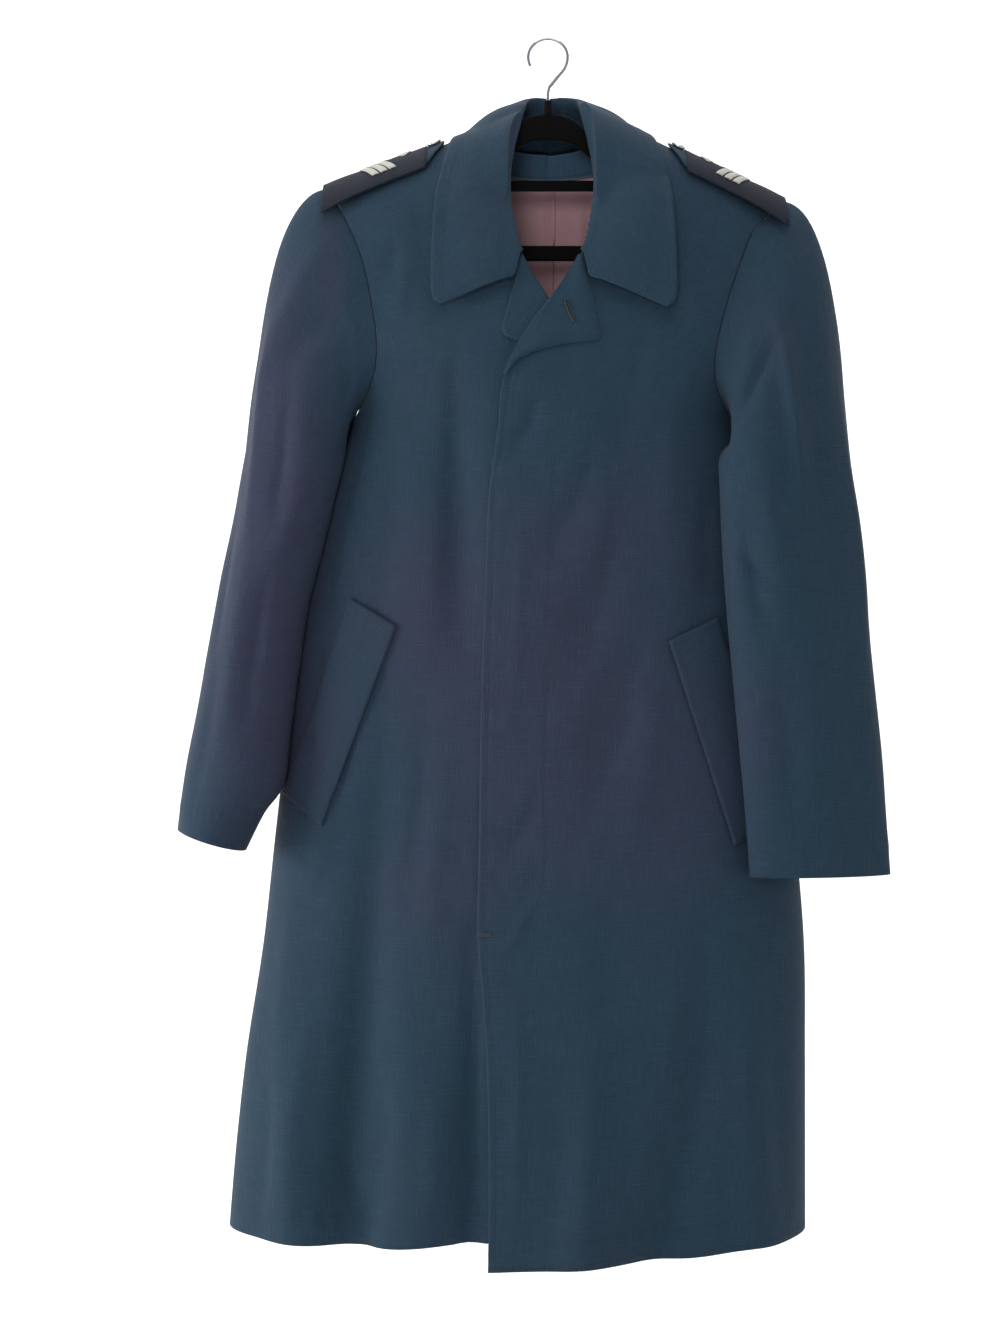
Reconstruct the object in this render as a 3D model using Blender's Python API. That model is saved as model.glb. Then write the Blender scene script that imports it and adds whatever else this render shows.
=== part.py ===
"""A single-breasted, fly-front overcoat with shoulder straps, hanging on a slim flocked hanger.

Metres, +Z up, the coat's front towards -Y. The origin is the inside top of the hanger's hook.
Sizes in the tables are millimetres. Those marked "as seen" lie in the hanger's plane, where the
sight lines from the viewer's eye meet it, and on_sight() carries them to their true depth.
Left and right are the wearer's: the wearer's left side is at +X.
"""

import math

import bmesh
import bpy
import numpy as np

MM = 0.001
EYE = np.array((-48.0, -2200.0, -626.5))  # the eye that the sizes "as seen" were taken from

# Driving sizes, in millimetres
CLOTH = 2.0  # the coat's wall: outer cloth, interlining and lining together
THIN_CLOTH = 1.6  # collar, lapels and welts
SEAM_GAP = 0.3
ROUND = 2.4  # how square the body's sections are: 2 is an ellipse
SHOULDER_DROP = 70.0  # height over which a shoulder rounds into the chest and the back
UNDERARM_Z = -385.0
SIDE_HEM_Z = -1178.0
OVERLAP_LIFT = 3.2  # how far the over front's face stands off the under front's
OVERLAP_END = 62.0  # the over front is back on the body's own surface from here outwards
LAPEL_LIFT = 3.8  # more room where the over front also covers the under lapel
SLEEVE_CLEARANCE = 6.0
SLEEVE_ROOM = 2.6  # that clearance at the underarm, from where it grows
SLEEVE_ROOM_GROWTH = 0.12  # per mm below it
UNDERARM_REACH = 9.0  # the sleeve already stands clear of the body this far above the underarm
FOLD_EDGE = 1.6  # folds fade out towards the sides by this multiple of the body's own rounding
OVERLAP_FADE = 30.0  # the width over which the overlap's lift comes in
LAPEL_END = 18.0  # the lapel's extra lift ends here, across
LAPEL_FOOT_Z = -395.0  # and starts here, upwards
LAPEL_FADE = 60.0
EDGE_SIGHT = 1.048  # a front edge's height as seen, over its true height, both from the eye's level
FRONT_WRAP = 0.85  # how far a front's columns crowd towards its side seam, below the chest
WRAP_START = 6  # the armhole row where that starts
BACK_WRAP = 0.55  # the same for the back
LEVEL_ROWS = 2  # the back's rows run level from this many rows above the underarm
ARMHOLE_CROWD = 1.3  # armhole rows crowd towards the shoulder's tip by this power
NECK_CROWD = 1.15
HEAD_CROWD = 1.25
SLEEVE_SPREAD = 0.25  # how much the sleeve's head fans out from its armhole, and leans down
SLEEVE_LEAN = 0.12
SLEEVE_GAP = 0.5  # between the armhole and the sleeve's first ring, and as much more at the underarm

ARMHOLE_ROWS = 14
NECK_ROWS = 7
SKIRT_ROWS = 18
FRONT_COLUMNS = 16
SHOULDER_COLUMNS = 8
BACK_NECK_HALF = 4
SLEEVE_HEAD_ROWS = 7


class Table:
    """Rows of named sizes, read by a smooth curve through them."""

    def __init__(self, columns, *rows):
        self.columns = columns
        self.rows = np.array(rows, float)

    def column(self, name):
        return self.rows[:, self.columns.index(name)]

    def at(self, key, name):
        """The named column where the first column is key."""
        keys = self.column(self.columns[0])
        values = self.column(name)
        if keys[0] > keys[-1]:
            keys, values = keys[::-1], values[::-1]
        slopes = np.gradient(values, keys)
        key = np.clip(np.asarray(key, float), keys[0], keys[-1])
        i = np.clip(np.searchsorted(keys, key) - 1, 0, len(keys) - 2)
        span = keys[i + 1] - keys[i]
        t = (key - keys[i]) / span
        return (
            (2 * t**3 - 3 * t**2 + 1) * values[i]
            + (t**3 - 2 * t**2 + t) * span * slopes[i]
            + (3 * t**2 - 2 * t**3) * values[i + 1]
            + (t**3 - t**2) * span * slopes[i + 1]
        )


# Half widths towards the wearer's right (-X) and left (+X), and depths before and behind the hanger
BODY = Table(
    ("z", "right", "left", "front", "back"),
    (-40, 244, 254, 43, 48),
    (-100, 243, 253, 46, 54),
    (-150, 240, 250, 52, 62),
    (-200, 236, 243, 62, 72),
    (-260, 229, 231, 76, 84),
    (-320, 218, 216, 88, 92),
    (-385, 198, 193, 94, 96),
    (-430, 213, 202, 96, 96),
    (-520, 237, 212, 97, 96),
    (-600, 252, 222, 98, 96),
    (-700, 262, 236, 100, 97),
    (-800, 273, 247, 102, 99),
    (-900, 284, 255, 105, 101),
    (-1010, 301, 256, 108, 104),
    (-1100, 311, 256, 112, 107),
    (-1210, 320, 256, 116, 110),
)

# The shoulder line from neck to sleeve, at the seam
SHOULDERS = {
    -1: {"neck": (-60.0, -88.7), "tip": (-220.0, -149.2)},
    1: {"neck": (66.0, -81.7), "tip": (232.0, -161.2)},
}

# Front armhole seams from the shoulder's tip to the underarm, as seen
FRONT_ARMHOLE = {
    -1: ((-209, -167), (-198, -188), (-185, -222), (-177, -259), (-172, -291), (-172, -323),
         (-179, -349), (-191, -374)),
    1: ((217, -178), (206, -190), (191, -226), (181, -256), (174, -281), (167, -318),
        (168, -345), (179, -372)),
}

# Back armhole seams, hidden in the photograph and cut a little straighter than the front ones
BACK_ARMHOLE = {
    -1: ((-213, -172), (-203, -198), (-194, -232), (-190, -266), (-188, -300), (-188, -334),
         (-191, -362)),
    1: ((222, -184), (208, -208), (196, -238), (190, -268), (186, -300), (184, -334),
        (187, -362)),
}

# Necklines from the shoulder seam to the collar's front end, as seen
NECKLINE = {
    -1: ((-64, -106), (-66, -124), (-60, -150), (-48, -180), (-26, -212)),
    1: ((71, -100), (74, -120), (69, -148), (56, -179), (34, -211)),
}
BACK_NECK_DROP = 104.0  # the back neck seam's height below the origin, at the centre

# Roll lines and front edges from the collar's end to the underarm's height, as seen
ROLL_EDGE = {
    -1: ((-16, -231), (1, -258), (14, -286), (21, -318), (22, -385)),
    1: ((10, -246), (-16, -281), (-34, -309), (-45, -339), (-50, -385)),
}

# Front edges below that, as seen
FRONT_EDGE = {
    -1: Table(("z", "x"), (-385, 22), (-700, 22), (-1260, 22)),
    1: Table(
        ("z", "x"),
        (-385, -50),
        (-450, -59),
        (-540, -63),
        (-650, -67),
        (-785, -69),
        (-897, -70),
        (-945, -66),
        (-985, -63),
        (-1260, -60),
    ),
}

# How far each hem hangs below the side seams, by its distance from the front edge
HEM = {
    -1: Table(("from_edge", "drop"), (0, 2), (100, 1), (200, 6), (300, 3), (420, 0)),
    1: Table(("from_edge", "drop"), (0, 27), (90, 22), (180, 16), (260, 8), (400, 0)),
}

# Large soft folds, as seen: from, to, half width, and height (troughs are negative)
FRONT_FOLDS = Table(
    ("x0", "z0", "x1", "z1", "width", "height"),
    (-163, -600, -200, -1230, 24, -15),
    (-238, -790, -262, -1230, 30, 11),
    (-128, -900, -140, -1230, 30, 8),
    (-96, -300, -84, -660, 24, -6),
    (-84, -900, -80, -1230, 13, -8),
    (60, -480, 12, -660, 17, -4),
    (92, -580, 17, -800, 19, -5),
    (172, -860, 104, -1230, 27, -15),
    (212, -880, 226, -1230, 26, 10),
    (36, -960, 30, -1230, 34, 7),
)
BACK_FOLDS = Table(
    ("x0", "z0", "x1", "z1", "width", "height"),
    (-146, -470, -212, -1190, 30, -14),
    (-84, -560, -118, -1190, 30, 9),
    (4, -300, -6, -1190, 34, -9),
    (92, -540, 104, -1190, 30, 9),
    (140, -480, 182, -1190, 28, -13),
    (-226, -700, -268, -1190, 24, 8),
    (212, -760, 226, -1190, 22, 7),
    (-60, -190, -120, -330, 22, -4),
    (66, -190, 122, -330, 22, -4),
)

# Sleeve rings from the upper arm to the cuff: the outer and the inner side as seen, the depth of the
# ring's centre, its half depth, and how far its outer side lies behind the inner one per unit width
SLEEVE = {
    -1: Table(
        ("x_out", "z_out", "x_in", "z_in", "y", "half_depth", "lean"),
        (-302, -412, -204, -430, -22, 66, 0.00),
        (-319, -500, -223, -508, -28, 64, 0.00),
        (-331, -560, -237, -566, -32, 61, 0.00),
        (-342, -620, -247, -628, -37, 57, 0.00),
        (-352, -680, -257, -692, -41, 53, 0.00),
        (-362, -728, -264, -744, -45, 50, 0.02),
        (-367, -760, -284, -774, -48, 50, 0.05),
        (-370, -788, -302, -810, -50, 52, 0.08),
    ),
    1: Table(
        ("x_out", "z_out", "x_in", "z_in", "y", "half_depth", "lean"),
        (303, -425, 171, -432, -58, 48, 0.36),
        (316, -520, 175, -523, -60, 45, 0.36),
        (321, -585, 180, -588, -62, 42, 0.34),
        (327, -650, 186, -651, -65, 38, 0.32),
        (333, -705, 191, -706, -68, 34, 0.30),
        (338, -770, 197, -772, -71, 30, 0.27),
        (342, -834, 202, -837, -74, 26, 0.24),
    ),
}

# How straight out a sleeve leaves its armhole, and how straight down it comes into the arm
HEAD_OUT = 0.62
HEAD_DOWN = 1.0

# The collar's wearer's-right half from its front end to the centre back: the roll line, the middle of
# the leaf and the leaf's edge, as seen. Rows 0 to 7 stand on the front neckline, 7 to 11 on the back
COLLAR = Table(
    ("row", "roll_x", "roll_y", "roll_z", "mid_x", "mid_z", "edge_x", "edge_y", "edge_z"),
    (0, -27, -79, -211, -30, -252, -107, -84, -264),
    (0.4, -28, -78, -206, -46, -236, -114, -84, -259),
    (1, -30, -76, -199, -60, -225, -117, -82, -248),
    (2, -34, -68, -181, -72, -200, -117, -78, -222),
    (3, -37, -58, -162, -74, -176, -116, -72, -192),
    (4, -38, -46, -142, -73, -153, -114, -64, -164),
    (5, -36, -35, -119, -70, -130, -110, -52, -141),
    (6, -31, -22, -93, -64, -104, -102, -32, -119),
    (7, -25, -2, -67, -57, -80, -91, 2, -98),
    (8, -24, 14, -61, -55, -78, -87, 28, -107),
    (9, -20, 28, -58, -46, -80, -74, 48, -119),
    (10, -11, 38, -58, -26, -86, -44, 62, -129),
    (11, 0, 42, -60, 0, -90, 0, 68, -133),
)
COLLAR_COLUMNS = (0, 0.4, 1, 2, 3, 4, 5, 5.5, 6, 6.5, 7, 7.5, 8, 8.5, 9, 9.5, 10, 10.5, 11)
NECK_CENTRE = 4.0  # the neck opening's centre
LEFT_LEAF = 1.05  # the leaf on the wearer's left hangs this much longer
COLLAR_FOLD = 6.0  # thickness of the folded collar at its roll
FRONT_FOLD = 0.4  # share of that thickness left at the front ends
FOOT_RISE = 1.6  # the stand's foot above the neck seam
LEAF_ARCH = 6.0  # how far the leaf rises between its roll and its edge
LEAF_LIFT = 2.4  # its underside above the body
ROLL_BACK = 1.2  # how far the collar's roll reaches inwards, its fold's foot and its outer lip outwards
ROLL_FOOT = 2.0
ROLL_LIP = 0.8

# Lapels: the roll line and the free edge from the collar's end to the roll line's foot, as seen
LAPEL = {
    -1: {
        "roll": ((-27, -216), (-16, -233), (0, -258), (10, -276)),
        "edge": ((-30, -217), (-33, -240), (-47, -288), (-44, -295), (-28, -301), (-6, -298), (8, -280)),
    },
    1: {
        "roll": ((31, -214), (10, -246), (-16, -281), (-34, -309), (-44, -334)),
        "edge": ((35, -215), (39, -236), (46, -258), (54, -296), (51, -300), (14, -304), (-13, -311),
                 (-30, -319), (-42, -335)),
    },
}
LAPEL_STEPS = 14
LAPEL_BED = 0.5  # the lapel's underside above the front
LAPEL_PUFF = {-1: 0.3, 1: 1.8}  # how much more at its middle

# Slanted pocket welts: top outer, top inner, bottom inner and bottom outer corner, as seen
WELT = {
    -1: ((-199, -558), (-152, -586), (-227, -786), (-265, -754)),
    1: ((171, -577), (121, -601), (187, -806), (232, -778)),
}

WELT_BED = 0.9  # the welt's underside above the front

# Shoulder straps with rank slides
STRAP_FORWARD = 10.0  # how far the strap's middle lies before the shoulder line
STRAP_FALL = 26.0  # how far the slide's front edge lies below that line
TIP_FALL = 6.0  # how much more it falls at the shoulder's tip
TIP_REACH = 22.0  # how far in from the tip that fades
SHOULDER_BELOW = 40.0  # where the body's depth is read, below the shoulder line
STRAP_HALF_WIDTH = 25.0
STRAP_LENGTH = 128.0
STRAP_THICK = 2.0
SLIDE_HALF_WIDTH = 28.0
SLIDE_WALL = 0.9
SLIDE_LIFT = 0.9  # the slide's underside above the shoulder
SLIDE_HEIGHT = 4.6  # the slide's top above its underside
STRAP_PLAY = 0.4  # between the slide's wall and the strap in it
STRAP_TAPER = ((108, 124), (25, 7))  # the strap's half width over its pointed end
SLIDE_STATIONS = (-4.0, 8.0, 26.0, 46.0, 66.0, 86.0, 106.0)
BUTTON_AT = 114.0  # along the strap
BUTTON_HEIGHT = 3.2
CHEVRON_START = 34.0
CHEVRON_WIDTH = 5.6
CHEVRON_PITCH = 9.0
CHEVRON_HALF = 19.0
CHEVRON_SLOPE = 0.55
CHEVRON_THICK = 0.8
MOTIF_AT = 82.0
MOTIF_HALF = 7.2
BUTTON_RADIUS = 7.5

# Facing and lining inside the back neck
FACING_HALF = 62.0
FACING_FOOT_Z = -129.0
LINING_HALF = 92.0
LINING_FOOT_Z = -372.0
LINING_THICK = 1.0
PLEAT_DEPTH = 3.0
PLEAT_X = 9.0

# The hanger: the frame's outer and inner outline from the centre top to the centre bottom, half of it
FRAME_HALF_THICK = 3.2
FRAME_CENTRE = ((0, -75, -100), (12, -75.5, -100.5), (24, -80, -104), (34, -88, -111), (46, -98, -121))
FRAME_ARM_X = (70, 95, 120, 145, 170, 190)
FRAME_ARM_HEIGHT = 24.0
FRAME_END_X = 204.0
FRAME_BAR_TOP = -206.0
FRAME_BAR_FOOT = -221.0
ARM_SEAT = 2.0  # the arm's top below the wall at its centre, so that its edges just clear the rounded inside
TIE_BAR_TOP = -141.0
TIE_BAR_FOOT = -151.0
TIE_BAR_HALF_THICK = 2.5
HOOK_WIRE = 1.75
HOOK_INSIDE = 18.0
NUB_TOP = -61.0
NUB_RADIUS = 5.0


def on_sight(x, y, z):
    """The point at depth y on the eye's line through (x, z) of the hanger's plane."""
    scale = (y - EYE[1]) / -EYE[1]
    return EYE[0] + (x - EYE[0]) * scale, EYE[2] + (z - EYE[2]) * scale


def shoulder_z(x):
    """Height of the shoulder line."""
    x = np.asarray(x, float)
    result = np.zeros_like(x)
    for side, line in SHOULDERS.items():
        (x0, z0), (x1, z1) = line["neck"], line["tip"]
        here = z0 + (x - x0) * (z1 - z0) / (x1 - x0)
        result = np.where(x * side >= 0, here, result)
    return result


def half_width(x, z):
    return np.where(np.asarray(x) < 0, BODY.at(z, "right"), BODY.at(z, "left"))


def fold_height(x, z, folds, depth):
    """Sum of the soft folds at a point."""
    total = np.zeros(np.broadcast(x, z).shape)
    for x0, z0, x1, z1, width, height in folds.rows:
        x0, z0 = on_sight(x0, depth, z0)
        x1, z1 = on_sight(x1, depth, z1)
        along = np.array((x1 - x0, z1 - z0))
        length = np.linalg.norm(along)
        along /= length
        t = ((x - x0) * along[0] + (z - z0) * along[1]) / length
        off = -(x - x0) * along[1] + (z - z0) * along[0]
        grown = np.clip(t, 0, 1)
        rise = grown * grown * (3 - 2 * grown) if z1 < -900 else np.sin(np.pi * grown) ** 2
        total += height * rise * np.exp(-((off / width) ** 2))
    return total


def section(x, z, depth):
    """Depth of the plain body at (x, z), rounded at the sides and over the shoulders."""
    across = np.clip(np.abs(x) / half_width(x, z), 0, 1)
    side = (1 - across**ROUND) ** (1 / ROUND)
    down = np.clip((shoulder_z(x) - z) / SHOULDER_DROP, 0, 1)
    return depth * side * np.sqrt(1 - (1 - down) ** 2)


def front_depth(x, z, side=0):
    """How far the front's face lies before the hanger; side 1 is the over front."""
    plain = section(x, z, BODY.at(z, "front"))
    inward = np.clip(FOLD_EDGE * plain / np.maximum(BODY.at(z, "front"), 1), 0, 1)
    depth = plain + inward * fold_height(x, z, FRONT_FOLDS, -100)
    if side == 1:
        near = np.clip((OVERLAP_END - x) / OVERLAP_FADE, 0, 1)
        inner = np.clip((LAPEL_END - x) / OVERLAP_FADE, 0, 1)
        lapel = inner * np.clip((z - LAPEL_FOOT_Z) / LAPEL_FADE, 0, 1)
        depth = depth + OVERLAP_LIFT * near + LAPEL_LIFT * lapel
    return depth


def back_depth(x, z):
    plain = section(x, z, BODY.at(z, "back"))
    inward = np.clip(FOLD_EDGE * plain / np.maximum(BODY.at(z, "back"), 1), 0, 1)
    return plain + inward * fold_height(x, z, BACK_FOLDS, 0)


def on_front(x, z, side, lift=0.0):
    """The point seen at (x, z), on the front's face or lifted off it."""
    y = -80.0
    for _ in range(6):
        true_x, true_z = on_sight(x, y, z)
        y = -float(front_depth(np.array(true_x), np.array(true_z), side)) - lift
    return np.array((true_x, y, true_z))


def raised(point, lift):
    """point, moved out of the body where it lies in it or within lift of it."""
    x, y, z = point
    side = 1 if x > 0 else -1
    reach = float(BODY.at(z, "front" if y < 0 else "back"))
    across = min(abs(x) / float(half_width(x, z)), 1)
    reach *= (1 - across**ROUND) ** (1 / ROUND)
    depth = float(front_depth(x, z, side) if y < 0 else back_depth(x, z))
    centre = float(shoulder_z(x)) - SHOULDER_DROP
    rise = max(z - centre, 0)
    if rise == 0:
        return np.array((x, math.copysign(max(abs(y), depth + lift), y), z))
    far = math.hypot(y, rise)
    plain = far / math.hypot(y / reach, rise / SHOULDER_DROP)
    standing = max(depth - float(section(x, z, BODY.at(z, "front" if y < 0 else "back"))), 0)
    scale = max(1, (plain + lift + standing * abs(y) / far) / far)
    return np.array((x, y * scale, centre + rise * scale))


def along_path(points, fractions):
    """Points at these fractions of a polyline's length."""
    points = np.array(points, float)
    steps = np.linalg.norm(np.diff(points, axis=0), axis=1)
    lengths = np.concatenate([[0], np.cumsum(steps)]) / steps.sum()
    return np.stack([np.interp(fractions, lengths, points[:, i]) for i in range(points.shape[1])], -1)


def grid_normals(grid, closed, towards):
    """Unit normals of a grid of points, turned the way of towards(points)."""
    rows = np.gradient(grid, axis=0)
    if closed:
        columns = np.roll(grid, -1, axis=1) - np.roll(grid, 1, axis=1)
    else:
        columns = np.gradient(grid, axis=1)
    normals = np.cross(rows, columns)
    normals /= np.maximum(np.linalg.norm(normals, axis=2, keepdims=True), 1e-9)
    if (normals * towards(grid)).sum() < 0:
        normals = -normals
    return normals


def material(name, hex_colour, roughness, metallic=0.0):
    made = bpy.data.materials.new(name)
    made.use_nodes = True
    shader = made.node_tree.nodes["Principled BSDF"]
    srgb = [int(hex_colour[i : i + 2], 16) / 255 for i in (0, 2, 4)]
    linear = [c / 12.92 if c <= 0.04045 else ((c + 0.055) / 1.055) ** 2.4 for c in srgb]
    shader.inputs["Base Color"].default_value = (*linear, 1)
    shader.inputs["Roughness"].default_value = roughness
    shader.inputs["Metallic"].default_value = metallic
    return made


def add_object(name, mesh_builder, finish, smooth_angle=40):
    """Puts a bmesh in metres into the scene as one named object."""
    mesh = bpy.data.meshes.new(name)
    bmesh.ops.recalc_face_normals(mesh_builder, faces=mesh_builder.faces[:])
    if mesh_builder.calc_volume(signed=True) < 0:
        bmesh.ops.reverse_faces(mesh_builder, faces=mesh_builder.faces[:])
    mesh_builder.to_mesh(mesh)
    mesh_builder.free()
    mesh.materials.append(finish)
    mesh.shade_smooth()
    mesh.set_sharp_from_angle(angle=math.radians(smooth_angle))
    made = bpy.data.objects.new(name, mesh)
    bpy.context.scene.collection.objects.link(made)
    return made


def cloth(name, face, back, finish, closed=False):
    """A closed wall between two grids of points: its face and its back."""
    rows, columns, _ = face.shape
    builder = bmesh.new()
    layers = [
        [[builder.verts.new(point * MM) for point in row] for row in grid] for grid in (face, back)
    ]
    spans = columns if closed else columns - 1
    for layer in layers:
        for i in range(rows - 1):
            for j in range(spans):
                k = (j + 1) % columns
                builder.faces.new((layer[i][j], layer[i][k], layer[i + 1][k], layer[i + 1][j]))
    first, second = layers
    for i in (0, rows - 1):
        for j in range(spans):
            k = (j + 1) % columns
            builder.faces.new((first[i][j], first[i][k], second[i][k], second[i][j]))
    if not closed:
        for j in (0, columns - 1):
            for i in range(rows - 1):
                builder.faces.new((first[i][j], first[i + 1][j], second[i + 1][j], second[i][j]))
    bmesh.ops.triangulate(builder, faces=builder.faces[:])
    return add_object(name, builder, finish)


def armhole(side, is_front):
    """The armhole seam's points from the shoulder's tip to the underarm."""
    tip_x, tip_z = SHOULDERS[side]["tip"]
    under = np.array((side * float(half_width(side, UNDERARM_Z)), 0.0, UNDERARM_Z))
    points = [np.array((tip_x, 0.0, tip_z))]
    if is_front:
        points += [on_front(x, z, side) for x, z in FRONT_ARMHOLE[side]]
    else:
        points += [np.array((x, float(back_depth(x, z)), z)) for x, z in BACK_ARMHOLE[side]]
    points.append(under)
    fractions = (np.arange(ARMHOLE_ROWS + 1) / ARMHOLE_ROWS) ** ARMHOLE_CROWD
    seam = along_path(points, fractions)
    depth = front_depth if is_front else back_depth
    turn = -1 if is_front else 1
    inside = slice(1, ARMHOLE_ROWS)
    seam[inside, 1] = turn * depth(seam[inside, 0], seam[inside, 2])
    return seam


def neckline(side):
    """The front neck seam from the shoulder seam to the collar's end."""
    neck_x, neck_z = SHOULDERS[side]["neck"]
    points = [np.array((neck_x, 0.0, neck_z))] + [on_front(x, z, side) for x, z in NECKLINE[side]]
    seam = along_path(points, (np.arange(NECK_ROWS + 1) / NECK_ROWS) ** NECK_CROWD)
    seam[1:, 1] = -front_depth(seam[1:, 0], seam[1:, 2], side)
    return seam


def back_neckline():
    """The back neck seam from the wearer's right shoulder seam to the left one."""
    right_x, right_z = SHOULDERS[-1]["neck"]
    left_x, left_z = SHOULDERS[1]["neck"]
    turn = np.linspace(0, np.pi, 2 * BACK_NECK_HALF + 1)
    middle, half = (left_x + right_x) / 2, (left_x - right_x) / 2
    x = middle - half * np.cos(turn)
    sides = right_z + (left_z - right_z) * (x - right_x) / (left_x - right_x)
    z = sides + (-BACK_NECK_DROP - (right_z + left_z) / 2) * np.sin(turn)
    seam = np.stack([x, back_depth(x, z), z], -1)
    seam[[0, -1], 1] = 0
    return seam


def side_heights():
    return np.linspace(UNDERARM_Z, SIDE_HEM_Z, SKIRT_ROWS + 1)[1:]


def side_seam(side):
    z = side_heights()
    x = side * half_width(np.full_like(z, side), z)
    return np.stack([x, np.zeros_like(z), z], -1)


def flattened(normals, where):
    """Normals of a seam's points laid into the seam's own plane, so that both walls meet there."""
    normals[where, 1] = 0
    normals[where] /= np.linalg.norm(normals[where], axis=-1, keepdims=True)


def front_panel(side, name, finish):
    """One front, from its armhole and side seam to its neckline, roll line and edge."""
    outer = np.concatenate([armhole(side, True), side_seam(side)])
    roll = [neckline(side)[-1]] + [on_front(x, z, side) for x, z in ROLL_EDGE[side]]
    rolled = along_path(roll, np.linspace(0, 1, ARMHOLE_ROWS - NECK_ROWS + 1))[1:]
    edge = []
    for z in side_heights():
        level = EYE[2] + (z - EYE[2]) * EDGE_SIGHT
        edge.append(on_front(float(FRONT_EDGE[side].at(level, "x")), level, side))
    inner = np.concatenate([neckline(side), rolled, np.array(edge)])
    rows = len(outer)
    s = np.linspace(0, 1, FRONT_COLUMNS + 1)
    grid = np.zeros((rows, FRONT_COLUMNS + 1, 3))
    for j in range(rows):
        rounded = min(max((j - WRAP_START) / (ARMHOLE_ROWS - WRAP_START), 0), 1) * FRONT_WRAP
        share = (1 - rounded) * s + rounded * (1 - np.cos(s * np.pi / 2))
        x = outer[j, 0] + (inner[j, 0] - outer[j, 0]) * share
        z = outer[j, 2] + (inner[j, 2] - outer[j, 2]) * share
        lower = max(0, (j - ARMHOLE_ROWS) / SKIRT_ROWS) ** 2
        z = z - lower * HEM[side].at(np.abs(x - inner[j, 0]), "drop")
        grid[j] = np.stack([x, -front_depth(x, z, side), z], -1)
    grid[:, 0] = outer + (0, -SEAM_GAP / 2, 0)
    grid[0, :, 1] = -SEAM_GAP / 2
    normals = grid_normals(grid, False, lambda points: np.array((0, -1.0, 0)))
    seam = np.zeros(grid.shape[:2], bool)
    seam[0, :] = True
    seam[ARMHOLE_ROWS:, 0] = True
    flattened(normals, seam)
    cloth(name, grid, grid - CLOTH * normals, finish)
    return grid, normals


def back_panel(finish):
    """The back, from shoulder seams and neckline to the hem."""
    right = np.concatenate([armhole(-1, False), side_seam(-1)])
    left = np.concatenate([armhole(1, False), side_seam(1)])
    neck = back_neckline()
    right_seam = np.linspace(right[0], neck[0], SHOULDER_COLUMNS + 1)[:-1]
    left_seam = np.linspace(neck[-1], left[0], SHOULDER_COLUMNS + 1)[1:]
    top = np.concatenate([right_seam, neck, left_seam])
    columns = len(top)
    share_top = (top[:, 0] - top[0, 0]) / (top[-1, 0] - top[0, 0])
    turn = np.linspace(0, 1, columns)
    share_low = (1 - BACK_WRAP) * turn + BACK_WRAP * (1 - np.cos(turn * np.pi)) / 2
    level_row = ARMHOLE_ROWS - LEVEL_ROWS
    grid = np.zeros((len(right), columns, 3))
    for j in range(len(right)):
        mix = min(j / level_row, 1)
        share = (1 - mix) * share_top + mix * share_low
        x = right[j, 0] + (left[j, 0] - right[j, 0]) * share
        z = right[j, 2] + (left[j, 2] - right[j, 2]) * share
        chord = top[0, 2] + (top[-1, 2] - top[0, 2]) * share_top
        z = z + (top[:, 2] - chord) * (1 - mix)
        grid[j] = np.stack([x, back_depth(x, z), z], -1)
    grid[0] = top
    grid[:, 0] = right
    grid[:, -1] = left
    normals = grid_normals(grid, False, lambda points: np.array((0, 1.0, 0)))
    seam = np.zeros(grid.shape[:2], bool)
    seam[0, : SHOULDER_COLUMNS + 1] = True
    seam[0, -SHOULDER_COLUMNS - 1 :] = True
    seam[ARMHOLE_ROWS:, 0] = True
    seam[ARMHOLE_ROWS:, -1] = True
    flattened(normals, seam)
    grid[seam, 1] += SEAM_GAP / 2
    cloth("back", grid, grid - CLOTH * normals, finish)
    return grid, normals


def sleeve_ring(side, row, count):
    """One ring of a sleeve from its table row, starting at the outer side and turning to the front."""
    x_out, z_out, x_in, z_in, y, half_depth, lean = row
    half = abs(x_out - x_in) / 2
    outer = on_sight(x_out, y + lean * half, z_out)
    inner = on_sight(x_in, y - lean * half, z_in)
    turn = np.linspace(0, 2 * np.pi, count, endpoint=False)
    mix = (1 + np.cos(turn)) / 2
    x = inner[0] + (outer[0] - inner[0]) * mix
    z = inner[1] + (outer[1] - inner[1]) * mix
    return np.stack([x, y + lean * half * np.cos(turn) - half_depth * np.sin(turn), z], -1)


def clear_of_body(points, side):
    """Sleeve points moved out where they would lie in the body or too near it."""
    result = points.copy()
    holes = {True: armhole(side, True), False: armhole(side, False)}
    for index, (x, y, z) in enumerate(points):
        below = UNDERARM_Z - z
        hole = holes[y < 0]
        if below < -UNDERARM_REACH and abs(x) > np.interp(-z, -hole[:, 2], np.abs(hole[:, 0])):
            continue
        room = min(SLEEVE_CLEARANCE, SLEEVE_ROOM + SLEEVE_ROOM_GROWTH * max(below, 0))
        wide = float(half_width(x, z)) + room
        deep = float(BODY.at(z, "front" if y < 0 else "back")) + room
        inside = ((abs(x) / wide) ** ROUND + (abs(y) / deep) ** ROUND) ** (1 / ROUND)
        if inside < 1:
            result[index, :2] /= inside
    return result


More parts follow.
